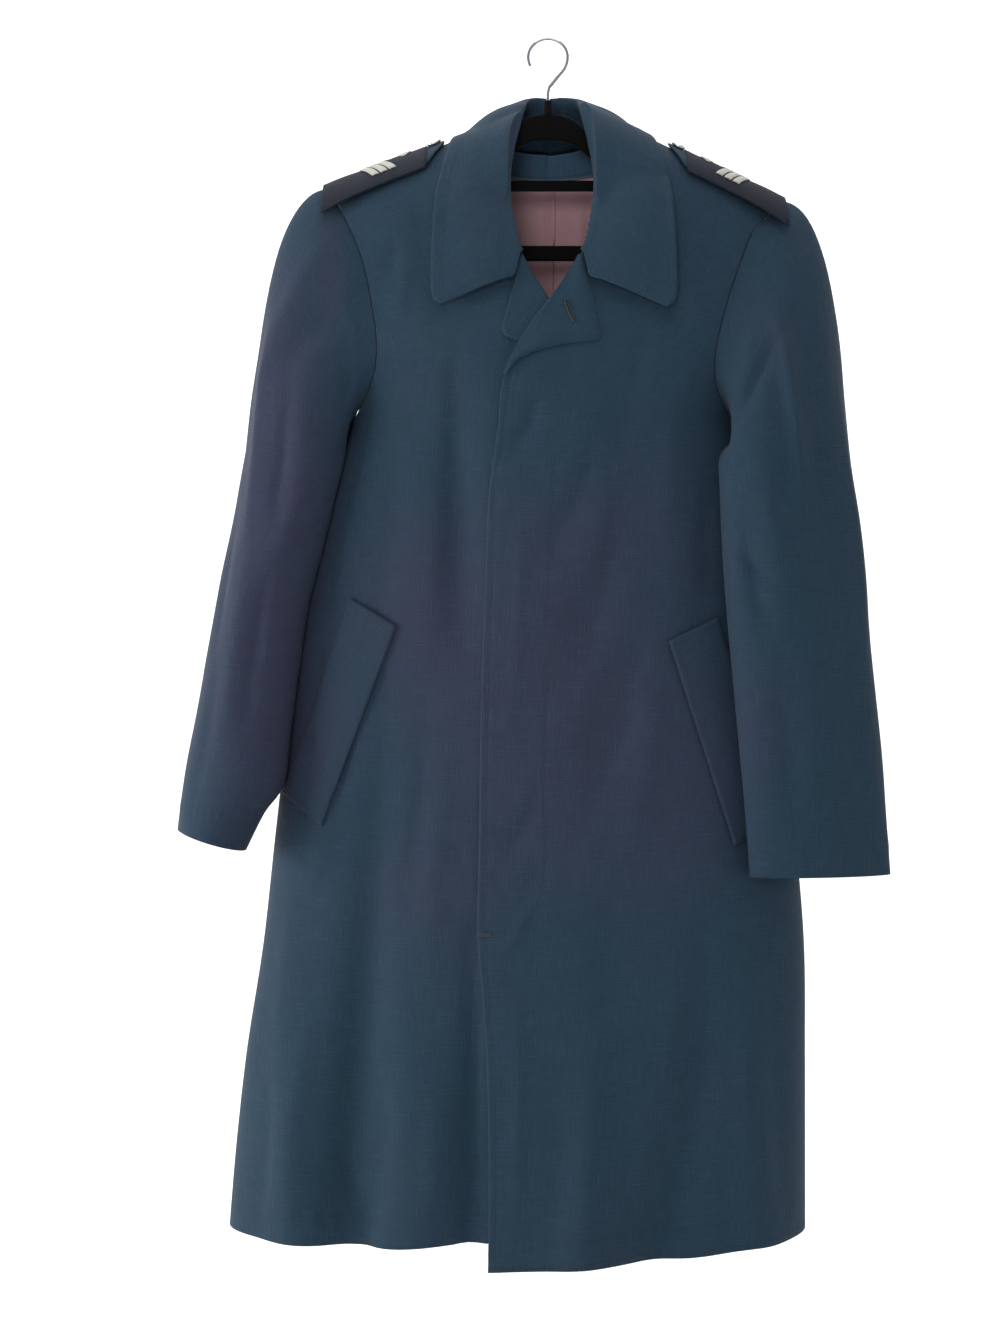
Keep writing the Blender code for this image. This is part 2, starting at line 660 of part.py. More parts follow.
def sleeve(side, name, finish, front, back):
    """A sleeve from its armhole to its cuff, joined to the armhole's own points."""
    front_grid, front_normals = front
    back_grid, back_normals = back
    column = 0 if side == -1 else -1
    rows = ARMHOLE_ROWS + 1
    front_seam, front_turn = front_grid[:rows, 0], front_normals[:rows, 0]
    back_seam, back_turn = back_grid[:rows, column], back_normals[:rows, column]
    seam = np.concatenate([front_seam, back_seam[-2:0:-1]])
    turned = np.concatenate([front_turn, back_turn[-2:0:-1]])
    seam[0, 1] = seam[ARMHOLE_ROWS, 1] = 0
    count = len(seam)
    rings = [sleeve_ring(side, row, count) for row in SLEEVE[side].rows]
    upper = rings[0]
    away = np.zeros_like(seam)
    centre = seam.mean(axis=0)
    for k in range(count):
        ray = seam[k] - centre
        out = np.array((side * 1.0, 0.0, -SLEEVE_SPREAD))
        away[k] = out + SLEEVE_SPREAD * ray / max(np.linalg.norm(ray), 1)
    away /= np.linalg.norm(away, axis=1, keepdims=True)
    start = seam + (SLEEVE_GAP * side, 0, 0)
    start[ARMHOLE_ROWS - 1 : ARMHOLE_ROWS + 2] += (SLEEVE_GAP * side, 0, 0)
    reach = np.linalg.norm(upper - seam, axis=1, keepdims=True)
    head = []
    for step in range(1, SLEEVE_HEAD_ROWS):
        t = (step / SLEEVE_HEAD_ROWS) ** HEAD_CROWD
        down = np.array((side * SLEEVE_LEAN, 0, -1.0)) * reach * HEAD_DOWN
        point = (
            (2 * t**3 - 3 * t**2 + 1) * start
            + (t**3 - 2 * t**2 + t) * away * reach * HEAD_OUT
            + (3 * t**2 - 2 * t**3) * upper
            + (t**3 - t**2) * down
        )
        head.append(point)
    body = [clear_of_body(ring, side) for ring in head + rings]
    grid = np.array([start] + body)
    axis = grid.mean(axis=1, keepdims=True)
    normals = grid_normals(grid, True, lambda points: points - axis)
    own = np.clip(2 - np.abs(np.arange(count) - ARMHOLE_ROWS) / 2, 0, 1)[:, None]
    normals[0] = own * normals[0] + (1 - own) * turned
    normals[0] /= np.linalg.norm(normals[0], axis=1, keepdims=True)
    cloth(name, grid, grid - CLOTH * normals, finish, closed=True)
    return grid, normals


def collar_row(at, side):
    """The collar's sizes at one place along it, on either side of the neck."""
    row = {name: float(COLLAR.at(at, name)) for name in COLLAR.columns[1:]}
    if side == 1:
        longer = 1 + (LEFT_LEAF - 1) * min(max(7 - at, 0), 1)
        for name in ("roll_x", "mid_x", "edge_x"):
            row[name] = -row[name] + 2 * NECK_CENTRE * min(1, abs(row["roll_x"]) / 20)
        for name in ("mid", "edge"):
            row[name + "_x"] = row["roll_x"] + (row[name + "_x"] - row["roll_x"]) * longer
            row[name + "_z"] = row["roll_z"] + (row[name + "_z"] - row["roll_z"]) * longer
    return row


def collar_feet(side):
    """The neck seam's points under the collar's places, from the front end to the centre back."""
    behind = back_neckline()
    behind = behind[: BACK_NECK_HALF + 1] if side == -1 else behind[: BACK_NECK_HALF - 1 : -1]
    seam = np.concatenate([neckline(side)[::-1], behind[1:]])
    places = np.arange(len(seam))
    return np.stack([np.interp(COLLAR_COLUMNS, places, seam[:, i]) for i in range(3)], -1)


def seen_points(rows, name, depths):
    points = [on_sight(row[name + "_x"], y, row[name + "_z"]) for row, y in zip(rows, depths)]
    return np.array([(x, y, z) for (x, z), y in zip(points, depths)])


def collar(finish):
    """Stand and leaf in one, from the neck seam over the roll line to the leaf's edge."""
    rows, feet = [], []
    for side in (-1, 1):
        half_rows = [collar_row(at, side) for at in COLLAR_COLUMNS]
        half_feet = collar_feet(side)
        rows += half_rows if side == -1 else half_rows[-2::-1]
        feet += list(half_feet if side == -1 else half_feet[-2::-1])
    feet = np.array(feet)
    roll_y = np.array([row["roll_y"] for row in rows])
    edge_y = np.array([row["edge_y"] for row in rows])
    rolls = seen_points(rows, "roll", roll_y)
    middles = seen_points(rows, "mid", (roll_y + edge_y) / 2)
    edges = seen_points(rows, "edge", edge_y)
    along = np.gradient(rolls, axis=0)
    out = edges - rolls
    out /= np.linalg.norm(out, axis=1, keepdims=True)
    up = np.cross(out, along)
    up /= np.linalg.norm(up, axis=1, keepdims=True)
    skyward = np.stack([0 * roll_y, 0.8 * np.clip(roll_y / 30, -1, 1), 0 * roll_y + 1], -1)
    up *= np.sign((up * skyward).sum(axis=1, keepdims=True))
    half = np.array(COLLAR_COLUMNS)
    places = np.concatenate([half, half[-2::-1]])
    fold = COLLAR_FOLD * np.clip(FRONT_FOLD + places / 4, 0, 1)[:, None]
    low = rolls - fold * up + ROLL_FOOT * out
    foot = feet + np.array((0, 0, FOOT_RISE)) - (THIN_CLOTH + SEAM_GAP) * out
    turned = rolls - 0.5 * fold * up - ROLL_BACK * out
    profile = [foot, foot + 0.5 * (low - foot), low, turned, rolls + ROLL_LIP * out]
    for s in (0.14, 0.36, 0.58, 0.8, 1.0):
        leaf = (1 - s) ** 2 * rolls + 2 * s * (1 - s) * middles + s * s * edges
        leaf = leaf + LEAF_ARCH * math.sin(math.pi * min(s * 1.1, 1)) * up
        profile.append(np.array([raised(point, THIN_CLOTH + LEAF_LIFT) for point in leaf]))
    grid = np.array(profile).transpose(1, 0, 2)
    normals = grid_normals(grid, False, lambda points: np.zeros_like(points))
    if (normals[:, -2] * up).sum() < 0:
        normals = -normals
    cloth("collar", grid, grid - THIN_CLOTH * normals, finish)


def lapel(side, name, finish):
    """The front's corner turned back over it, along the roll line."""
    steps = np.linspace(0, 1, LAPEL_STEPS)
    roll = along_path(LAPEL[side]["roll"], steps)
    edge = along_path(LAPEL[side]["edge"], steps)
    face, under = [], []
    for (x0, z0), (x1, z1) in zip(roll, edge):
        face_row, under_row = [], []
        for s in (0, 0.12, 0.35, 0.65, 1):
            lift = LAPEL_BED + LAPEL_PUFF[side] * math.sin(math.pi * s)
            x, z = x0 + (x1 - x0) * s, z0 + (z1 - z0) * s
            under_row.append(on_front(x, z, side, lift))
            face_row.append(on_front(x, z, side, lift + THIN_CLOTH))
        face.append(face_row)
        under.append(under_row)
    cloth(name, np.array(face), np.array(under), finish)


def welt(side, name, finish):
    """A slanted pocket's welt, lying on the front."""
    corners = np.array(WELT[side], float)
    face, under = [], []
    for t in np.linspace(0, 1, 9):
        face_row, under_row = [], []
        for s in np.linspace(0, 1, 7):
            top = corners[0] + (corners[1] - corners[0]) * s
            foot = corners[3] + (corners[2] - corners[3]) * s
            x, z = top + (foot - top) * t
            under_row.append(on_front(x, z, side, WELT_BED))
            face_row.append(on_front(x, z, side, WELT_BED + THIN_CLOTH))
        face.append(face_row)
        under.append(under_row)
    cloth(name, np.array(face), np.array(under), finish)


def strap_fall(x, y, z, along):
    """How far the strap's bed has fallen from the shoulder line's (x, z), y behind it."""
    front_edge = SLIDE_HALF_WIDTH + STRAP_FORWARD
    fall = (STRAP_FALL + TIP_FALL * math.exp(-max(along, 0) / TIP_REACH)) * (y / front_edge) ** 2
    if along > 0:
        low = z - SHOULDER_BELOW
        reach = float(section(x, low, BODY.at(low, "front" if y < 0 else "back")))
        share = min(abs(y) / max(reach, 1), 1)
        fall = min(fall, SHOULDER_DROP * (1 - math.sqrt(1 - share * share)))
    return fall


def strap_frame(side, along, across):
    """The strap's bed along mm in from the shoulder's tip and across its middle, and its slope there."""
    line = SHOULDERS[side]
    (x0, z0), (x1, z1) = line["tip"], line["neck"]
    length = math.hypot(x1 - x0, z1 - z0)
    x = x0 + (x1 - x0) * along / length
    z = z0 + (z1 - z0) * along / length
    y = across - STRAP_FORWARD
    slope = strap_fall(x, y + 0.5, z, along) - strap_fall(x, y - 0.5, z, along)
    return np.array((x, y, z - strap_fall(x, y, z, along))), slope


def strap_point(side, along, across, lift):
    """A point lift mm off the strap's bed, square to it."""
    bed, slope = strap_frame(side, along, across)
    return bed + lift * np.array((0, slope, 1)) / math.hypot(slope, 1)


def shoulder_strap(side, word, finishes):
    """The strap, the slide on it with its chevrons and motif, and the strap's button."""
    stations = np.array(SLIDE_STATIONS + (116.0, STRAP_LENGTH - 4.0))
    tapered = np.interp(stations, *STRAP_TAPER)
    halves = np.where(stations < STRAP_TAPER[0][0], STRAP_HALF_WIDTH, tapered)
    strap_low = SLIDE_LIFT + SLIDE_WALL + STRAP_PLAY
    face, under = [], []
    for station, half in zip(stations, halves):
        ys = np.linspace(-half, half, 7)
        face.append([strap_point(side, station, y, strap_low + STRAP_THICK) for y in ys])
        under.append([strap_point(side, station, y, strap_low) for y in ys])
    cloth(word + "_strap", np.array(face), np.array(under), finishes["cloth"])

    around = np.linspace(-1, 1, 7)
    outer, inner = [], []
    for station in SLIDE_STATIONS:
        rings = []
        for wall in (0.0, SLIDE_WALL):
            half = SLIDE_HALF_WIDTH - wall
            top = [strap_point(side, station, half * a, SLIDE_LIFT + SLIDE_HEIGHT - wall) for a in around]
            foot = [strap_point(side, station, half * a, SLIDE_LIFT + wall) for a in around[::-1]]
            rings.append(top + foot)
        outer.append(rings[0])
        inner.append(rings[1])
    cloth(word + "_slide", np.array(outer), np.array(inner), finishes["slide"], closed=True)

    crown = SLIDE_LIFT + SLIDE_HEIGHT + SEAM_GAP
    for number in range(3):
        start = CHEVRON_START + number * CHEVRON_PITCH
        face, under = [], []
        for y in np.linspace(-CHEVRON_HALF, CHEVRON_HALF, 7):
            near = start + CHEVRON_SLOPE * abs(y)
            ends = (near, near + CHEVRON_WIDTH)
            face.append([strap_point(side, a, y, crown + CHEVRON_THICK) for a in ends])
            under.append([strap_point(side, a, y, crown) for a in ends])
        cloth(f"{word}_chevron_{number + 1}", np.array(face), np.array(under), finishes["silver"])
    face, under = [], []
    for y in (-7, -3.5, 0, 3.5, 7):
        half = MOTIF_HALF - 0.8 * abs(y)
        ends = (MOTIF_AT - half, MOTIF_AT, MOTIF_AT + half)
        face.append([strap_point(side, a, y, crown + CHEVRON_THICK) for a in ends])
        under.append([strap_point(side, a, y, crown) for a in ends])
    cloth(word + "_motif", np.array(face), np.array(under), finishes["silver"])

    seat = strap_point(side, BUTTON_AT, 0, strap_low + STRAP_THICK + SEAM_GAP)
    builder = bmesh.new()
    made = bmesh.ops.create_cone(
        builder, cap_ends=True, segments=20, radius1=BUTTON_RADIUS * MM, radius2=BUTTON_RADIUS * MM * 0.72,
        depth=BUTTON_HEIGHT * MM,
    )
    bmesh.ops.translate(builder, verts=made["verts"], vec=(0, 0, BUTTON_HEIGHT / 2 * MM))
    slope = math.atan2(SHOULDERS[side]["tip"][1] - SHOULDERS[side]["neck"][1],
                       SHOULDERS[side]["tip"][0] - SHOULDERS[side]["neck"][0])
    turn = -slope if side == 1 else math.pi - slope
    tilt = math.atan(strap_frame(side, BUTTON_AT, 0)[1])
    rotation = np.array(((math.cos(turn), 0, math.sin(turn)), (0, 1, 0), (-math.sin(turn), 0, math.cos(turn))))
    cosine, sine = math.cos(tilt), math.sin(tilt)
    rotation = rotation @ np.array(((1, 0, 0), (0, cosine, sine), (0, -sine, cosine)))
    for vert in builder.verts:
        vert.co = rotation @ np.array(vert.co) + seat * MM
    bmesh.ops.triangulate(builder, faces=builder.faces[:])
    add_object(word + "_strap_button", builder, finishes["metal"])


def inside_back(x, z, depth):
    """A point inside the back, this far in from its face."""
    return np.array((x, float(back_depth(x, z)) - depth, z))


def neck_facing(finish):
    """The band of coat cloth inside the back neck."""
    neck = back_neckline()
    face, under = [], []
    for x in np.linspace(-FACING_HALF + 14, FACING_HALF - 8, 11):
        top = float(np.interp(x, neck[:, 0], neck[:, 2])) - 5.0
        foot = FACING_FOOT_Z + 8 * (x / FACING_HALF) ** 2
        heights = np.linspace(top, foot, 4)
        under.append([inside_back(x, z, CLOTH + 1.0) for z in heights])
        face.append([inside_back(x, z, CLOTH + 1.0 + THIN_CLOTH) for z in heights])
    cloth("neck_facing", np.array(face), np.array(under), finish)


def back_lining(finish):
    """The lining of the upper back, with its centre pleat."""
    xs = np.concatenate([np.linspace(-LINING_HALF, PLEAT_X - 6, 9), (PLEAT_X, PLEAT_X + 1.5),
                         np.linspace(PLEAT_X + 8, LINING_HALF, 8)])
    face, under = [], []
    for x in xs:
        foot_top = FACING_FOOT_Z + 8 * (x / FACING_HALF) ** 2
        top = min(foot_top - 0.6, -126.0)
        row_face, row_under = [], []
        for z in np.linspace(top, LINING_FOOT_Z, 10):
            pleat = PLEAT_DEPTH * math.exp(-((x - PLEAT_X) / 9) ** 2) if x <= PLEAT_X else 0.0
            depth = CLOTH + 1.6 + pleat
            row_under.append(inside_back(x, z, depth))
            row_face.append(inside_back(x, z, depth + LINING_THICK))
        face.append(row_face)
        under.append(row_under)
    cloth("back_lining", np.array(face), np.array(under), finish)


def hanger_outline():
    """Outer and inner outline of the hanger's frame, once round, as (x, z) pairs."""
    halves = {}
    for side in (1, -1):
        outer = [(side * x, top) for x, top, _ in FRAME_CENTRE]
        inner = [(side * x, foot) for x, _, foot in FRAME_CENTRE]
        for x in FRAME_ARM_X:
            seat = float(shoulder_z(side * x)) - CLOTH - ARM_SEAT
            top = min(seat, -95.0 - 0.3 * (x - 60)) if x < 90 else seat
            outer.append((side * x, top))
            inner.append((side * (x - 4), top - FRAME_ARM_HEIGHT))
        last = outer[-1][1]
        outer += [(side * (FRAME_END_X - 4), last - 9), (side * FRAME_END_X, last - 26),
                  (side * FRAME_END_X, FRAME_BAR_FOOT + 7), (side * (FRAME_END_X - 7), FRAME_BAR_FOOT)]
        inner += [(side * (FRAME_END_X - 14), last - 33), (side * (FRAME_END_X - 13), last - 37),
                  (side * (FRAME_END_X - 13), FRAME_BAR_TOP + 3), (side * (FRAME_END_X - 16), FRAME_BAR_TOP)]
        for x in (150, 100, 50, 0):
            outer.append((side * x, FRAME_BAR_FOOT))
            inner.append((side * x, FRAME_BAR_TOP))
        halves[side] = (outer, inner)
    outer = halves[1][0] + halves[-1][0][-2:0:-1]
    inner = halves[1][1] + halves[-1][1][-2:0:-1]
    return np.array(outer), np.array(inner)


def hanger(finishes):
    """The flocked frame with its nub, the tie bar, and the wire hook."""
    outer, inner = hanger_outline()
    half = FRAME_HALF_THICK
    front = [(x, -half, z) for x, z in outer + 0.12 * (inner - outer)]
    grid = [
        [(x, -half + 1.2, z) for x, z in outer],
        [(x, half - 1.2, z) for x, z in outer],
        [(x, half, z) for x, z in outer + 0.1 * (inner - outer)],
        [(x, half, z) for x, z in outer + 0.9 * (inner - outer)],
        [(x, half - 1.2, z) for x, z in inner],
        [(x, -half + 1.2, z) for x, z in inner],
        [(x, -half, z) for x, z in outer + 0.9 * (inner - outer)],
        front,
    ]
    builder = bmesh.new()
    loops = [[builder.verts.new(np.array(p) * MM) for p in ring] for ring in grid]
    count = len(outer)
    for i, ring in enumerate(loops):
        other = loops[(i + 1) % len(loops)]
        for k in range(count):
            m = (k + 1) % count
            builder.faces.new((ring[k], ring[m], other[m], other[k]))
    bmesh.ops.triangulate(builder, faces=builder.faces[:])
    add_object("hanger_frame", builder, finishes["flock"])

    builder = bmesh.new()
    bmesh.ops.create_cone(builder, cap_ends=True, segments=16, radius1=NUB_RADIUS * MM,
                          radius2=NUB_RADIUS * MM * 0.8, depth=(NUB_TOP - -75.0 - SEAM_GAP) * MM)
    middle = (NUB_TOP - 75.0 + SEAM_GAP) / 2
    bmesh.ops.translate(builder, verts=builder.verts[:], vec=(0, 0, middle * MM))
    bmesh.ops.triangulate(builder, faces=builder.faces[:])
    add_object("hanger_nub", builder, finishes["flock"])

    ends = []
    for z in (TIE_BAR_TOP, TIE_BAR_FOOT):
        for side in (-1, 1):
            arm = np.array([p for p in inner if p[0] * side > 40 and p[1] > -190])
            order = np.argsort(-arm[:, 1])
            ends.append(float(np.interp(-z, -arm[order, 1], arm[order, 0])) - side * 0.6)
    top_right, top_left, foot_right, foot_left = ends
    builder = bmesh.new()
    corners = []
    for y in (-TIE_BAR_HALF_THICK, TIE_BAR_HALF_THICK):
        corners.append([builder.verts.new(np.array(p) * MM) for p in (
            (top_right, y, TIE_BAR_TOP), (top_left, y, TIE_BAR_TOP), (foot_left, y, TIE_BAR_FOOT),
            (foot_right, y, TIE_BAR_FOOT))])
    builder.faces.new(corners[0])
    builder.faces.new(corners[1][::-1])
    for k in range(4):
        m = (k + 1) % 4
        builder.faces.new((corners[0][k], corners[1][k], corners[1][m], corners[0][m]))
    bmesh.ops.triangulate(builder, faces=builder.faces[:])
    add_object("hanger_tie_bar", builder, finishes["flock"])

    radius = HOOK_INSIDE + HOOK_WIRE
    path = [(0.0, NUB_TOP + SEAM_GAP), (0.0, -54.0), (1.5, -47.0), (7.0, -40.0)]
    for degrees in np.arange(-45, 206, 12.5):
        turn = math.radians(degrees)
        path.append((radius * math.cos(turn), -HOOK_INSIDE + radius * math.sin(turn)))
    curve = bpy.data.curves.new("hanger_hook", "CURVE")
    curve.dimensions = "3D"
    curve.bevel_depth = HOOK_WIRE * MM
    curve.bevel_resolution = 2
    curve.use_fill_caps = True
    spline = curve.splines.new("POLY")
    spline.points.add(len(path) - 1)
    for point, (x, z) in zip(spline.points, path):
        point.co = (x * MM, 0, z * MM, 1)
    curve.materials.append(finishes["steel"])
    hook = bpy.data.objects.new("hanger_hook", curve)
    bpy.context.scene.collection.objects.link(hook)


def main():
    for old in list(bpy.data.objects):
        bpy.data.objects.remove(old, do_unlink=True)
    finishes = {
        "cloth": material("blue_gabardine", "33506B", 0.8),
        "lining": material("mauve_lining", "7A6570", 0.5),
        "slide": material("navy_slide", "2B3146", 0.85),
        "silver": material("silver_braid", "C9CCC8", 0.6),
        "metal": material("button_metal", "B9BCC0", 0.35, 1.0),
        "flock": material("black_flock", "0B0B0D", 0.95),
        "steel": material("steel_wire", "A8ABB0", 0.3, 1.0),
    }
    fronts = {
        -1: front_panel(-1, "under_front", finishes["cloth"]),
        1: front_panel(1, "over_front", finishes["cloth"]),
    }
    back = back_panel(finishes["cloth"])
    for side, word in ((-1, "right"), (1, "left")):
        sleeve(side, word + "_sleeve", finishes["cloth"], fronts[side], back)
        welt(side, word + "_pocket_welt", finishes["cloth"])
        shoulder_strap(side, word, finishes)
    lapel(-1, "under_lapel", finishes["cloth"])
    lapel(1, "over_lapel", finishes["cloth"])
    collar(finishes["cloth"])
    neck_facing(finishes["cloth"])
    back_lining(finishes["lining"])
    hanger(finishes)


main()
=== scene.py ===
"""A blue fly-front overcoat with shoulder straps, hanging on a black flocked hanger.

The coat's cloth is laid on the solids' own forms: the tables below give the same sizes in
millimetres, and the classes sample them finely and add the creases, the sewing and the weave.
Left and right are the wearer's: the wearer's left is at +X, and the coat's front faces -Y.
"""

import logging
import math
from dataclasses import dataclass, field
from enum import Enum
from typing import Optional, Sequence

import bmesh
import bpy
import numpy as np
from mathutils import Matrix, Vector


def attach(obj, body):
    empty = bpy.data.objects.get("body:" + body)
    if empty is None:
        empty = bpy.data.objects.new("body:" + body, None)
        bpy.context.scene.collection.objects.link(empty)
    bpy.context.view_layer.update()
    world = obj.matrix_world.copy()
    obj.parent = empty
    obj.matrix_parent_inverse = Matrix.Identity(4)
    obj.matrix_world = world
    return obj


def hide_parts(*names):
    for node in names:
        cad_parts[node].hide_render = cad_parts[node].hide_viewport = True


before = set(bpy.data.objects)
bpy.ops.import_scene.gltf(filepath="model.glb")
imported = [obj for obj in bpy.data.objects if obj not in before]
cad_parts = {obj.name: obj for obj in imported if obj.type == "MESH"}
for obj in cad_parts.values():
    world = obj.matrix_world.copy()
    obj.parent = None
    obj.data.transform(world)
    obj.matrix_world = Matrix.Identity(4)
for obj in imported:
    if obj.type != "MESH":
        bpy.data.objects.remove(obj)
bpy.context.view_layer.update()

LOG = logging.getLogger("overcoat")
Array = np.ndarray
MM = 0.001
FORWARD, BACKWARD, UPWARD = np.array((0, -1.0, 0)), np.array((0, 1.0, 0)), np.array((0, 0, 1.0))
EYE = np.array((-48.0, -2200.0, -626.5))  # the eye that sizes "as seen" were taken from


class Side(Enum):
    """The wearer's sides, with the sign of X on each."""

    RIGHT = -1
    LEFT = 1

    @property
    def word(self) -> str:
        """The side's name as it stands in the names of pieces."""
        return self.name.lower()


def cubic(t: Array, span: Array, start: Array, end: Array, leave: Array,
          arrive: Array) -> Array:
    """A cubic curve between two values with given slopes at both.

    Args:
        t: how far along, from 0 to 1.
        span: what one unit of t stands for in the slopes' terms.
        start: the value at 0.
        end: the value at 1.
        leave: the slope at 0.
        arrive: the slope at 1.

    Returns:
        The value at t.
    """
    return (
        (2 * t**3 - 3 * t**2 + 1) * start
        + (t**3 - 2 * t**2 + t) * span * leave
        + (3 * t**2 - 2 * t**3) * end
        + (t**3 - t**2) * span * arrive
    )


class Table:
    """Rows of named sizes, read by a smooth curve through them."""

    def __init__(self, columns: Sequence[str], *rows: Sequence[float]) -> None:
        """Keeps the rows.

        Args:
            columns: the columns' names, the first being the key.
            rows: one sequence of numbers a row.
        """
        self.columns = columns
        self.rows = np.array(rows, float)

    def column(self, name: str) -> Array:
        """One column's values."""
        return self.rows[:, self.columns.index(name)]

    def at(self, key: Array, name: str) -> Array:
        """Reads a column between its rows.

        Args:
            key: where to read, in the first column's terms.
            name: the column to read.

        Returns:
            The column's value at each key, on a smooth curve.
        """
        keys = self.column(self.columns[0])
        values = self.column(name)
        if keys[0] > keys[-1]:
            keys, values = keys[::-1], values[::-1]
        slopes = np.gradient(values, keys)
        key = np.clip(np.asarray(key, float), keys[0], keys[-1])
        i = np.clip(np.searchsorted(keys, key) - 1, 0, len(keys) - 2)
        span = keys[i + 1] - keys[i]
        t = (key - keys[i]) / span
        return cubic(t, span, values[i], values[i + 1], slopes[i], slopes[i + 1])


# Cloth
CLOTH = 2.0
THIN_CLOTH = 1.6
SEAM_GAP = 0.3
ROUND = 2.4
SHOULDER_DROP = 70.0
UNDERARM_Z = -385.0
SIDE_HEM_Z = -1178.0
OVERLAP_LIFT = 3.2
OVERLAP_END = 62.0
LAPEL_LIFT = 3.8
SLEEVE_CLEARANCE = 2.5
UNDERARM_REACH = 9.0
SLEEVE_GAP = 0.5
HEAD_FACING = 45.0  # how far below the underarm the sleeve's inner side is cloth
EDGE_SIGHT = 1.048  # a front edge's height as seen, over its true height, both from the eye's level

# How strongly the small creases are pressed in, over what their tables say
CREASE_STRENGTH = 1.45
SLEEVE_STRENGTH = 1.4

# How finely the cloth is sampled
ARMHOLE_ROWS = 56
NECK_ROWS = 28
SKIRT_ROWS = 150
FRONT_COLUMNS = 74
EDGE_COLUMNS = 18  # of those, in the last part of the front towards its edge
EDGE_BAND = 0.9
SHOULDER_COLUMNS = 26
BACK_NECK_HALF = 18
TIGHT_SHARE = 6 / 14  # of the armhole's rows, above which a front's columns are evenly spaced
LEVEL_SHARE = 12 / 14  # of the armhole's rows, below which the back's rows are level
SLEEVE_HEAD_ROWS = 26
SLEEVE_ROWS = 96

# Half widths towards the wearer's right (-X) and left (+X), and depths before and behind the hanger
BODY = Table(
    ("z", "right", "left", "front", "back"),
    (-40, 244, 254, 43, 48),
    (-100, 243, 253, 46, 54),
    (-150, 240, 250, 52, 62),
    (-200, 236, 243, 62, 72),
    (-260, 229, 231, 76, 84),
    (-320, 218, 216, 88, 92),
    (-385, 198, 193, 94, 96),
    (-430, 213, 202, 96, 96),
    (-520, 237, 212, 97, 96),
    (-600, 252, 222, 98, 96),
    (-700, 262, 236, 100, 97),
    (-800, 273, 247, 102, 99),
    (-900, 284, 255, 105, 101),
    (-1010, 301, 256, 108, 104),
    (-1100, 311, 256, 112, 107),
    (-1210, 320, 256, 116, 110),
)

# The shoulder line from neck to sleeve, at the seam
SHOULDERS = {
    -1: {"neck": (-60.0, -88.7), "tip": (-220.0, -149.2)},
    1: {"neck": (66.0, -81.7), "tip": (232.0, -161.2)},
}

# Front armhole seams from the shoulder's tip to the underarm, as seen
FRONT_ARMHOLE = {
    -1: ((-209, -167), (-198, -188), (-185, -222), (-177, -259), (-172, -291), (-172, -323),
         (-179, -349), (-191, -374)),
    1: ((217, -178), (206, -190), (191, -226), (181, -256), (174, -281), (167, -318),
        (168, -345), (179, -372)),
}

# Back armhole seams, hidden in the photograph and cut a little straighter than the front ones
BACK_ARMHOLE = {
    -1: ((-213, -172), (-203, -198), (-194, -232), (-190, -266), (-188, -300), (-188, -334),
         (-191, -362)),
    1: ((222, -184), (208, -208), (196, -238), (190, -268), (186, -300), (184, -334),
        (187, -362)),
}

# Necklines from the shoulder seam to the collar's front end, as seen
NECKLINE = {
    -1: ((-64, -106), (-66, -124), (-60, -150), (-48, -180), (-26, -212)),
    1: ((71, -100), (74, -120), (69, -148), (56, -179), (34, -211)),
}
BACK_NECK_DROP = 104.0  # the back neck seam's height below the origin, at the centre

# Roll lines and front edges from the collar's end to the underarm's height, as seen
ROLL_EDGE = {
    -1: ((-16, -231), (1, -258), (14, -286), (21, -318), (22, -385)),
    1: ((10, -246), (-16, -281), (-34, -309), (-45, -339), (-50, -385)),
}

# Front edges below that, as seen
FRONT_EDGE = {
    -1: Table(("z", "x"), (-385, 22), (-700, 22), (-1260, 22)),
    1: Table(
        ("z", "x"),
        (-385, -50),
        (-450, -59),
        (-540, -63),
        (-650, -67),
        (-785, -69),
        (-897, -70),
        (-945, -66),
        (-985, -63),
        (-1260, -60),
    ),
}

# How far each hem hangs below the side seams, by its distance from the front edge
HEM = {
    -1: Table(("from_edge", "drop"), (0, 2), (100, 1), (200, 6), (300, 3), (420, 0)),
    1: Table(("from_edge", "drop"), (0, 27), (90, 22), (180, 16), (260, 8), (400, 0)),
}

# Large soft folds, as seen: from, to, half width, and height (troughs are negative)
FRONT_FOLDS = Table(
    ("x0", "z0", "x1", "z1", "width", "height"),
    (-163, -600, -200, -1230, 24, -15),
    (-238, -790, -262, -1230, 30, 11),
    (-128, -900, -140, -1230, 30, 8),
    (-96, -300, -84, -660, 24, -6),
    (-84, -900, -80, -1230, 13, -8),
    (60, -480, 12, -660, 17, -4),
    (92, -580, 17, -800, 19, -5),
    (172, -860, 104, -1230, 27, -15),
    (212, -880, 226, -1230, 26, 10),
    (36, -960, 30, -1230, 34, 7),
)
BACK_FOLDS = Table(
    ("x0", "z0", "x1", "z1", "width", "height"),
    (-146, -470, -212, -1190, 30, -14),
    (-84, -560, -118, -1190, 30, 9),
    (4, -300, -6, -1190, 34, -9),
    (92, -540, 104, -1190, 30, 9),
    (140, -480, 182, -1190, 28, -13),
    (-226, -700, -268, -1190, 24, 8),
    (212, -760, 226, -1190, 22, 7),
    (-60, -190, -120, -330, 22, -4),
    (66, -190, 122, -330, 22, -4),
)

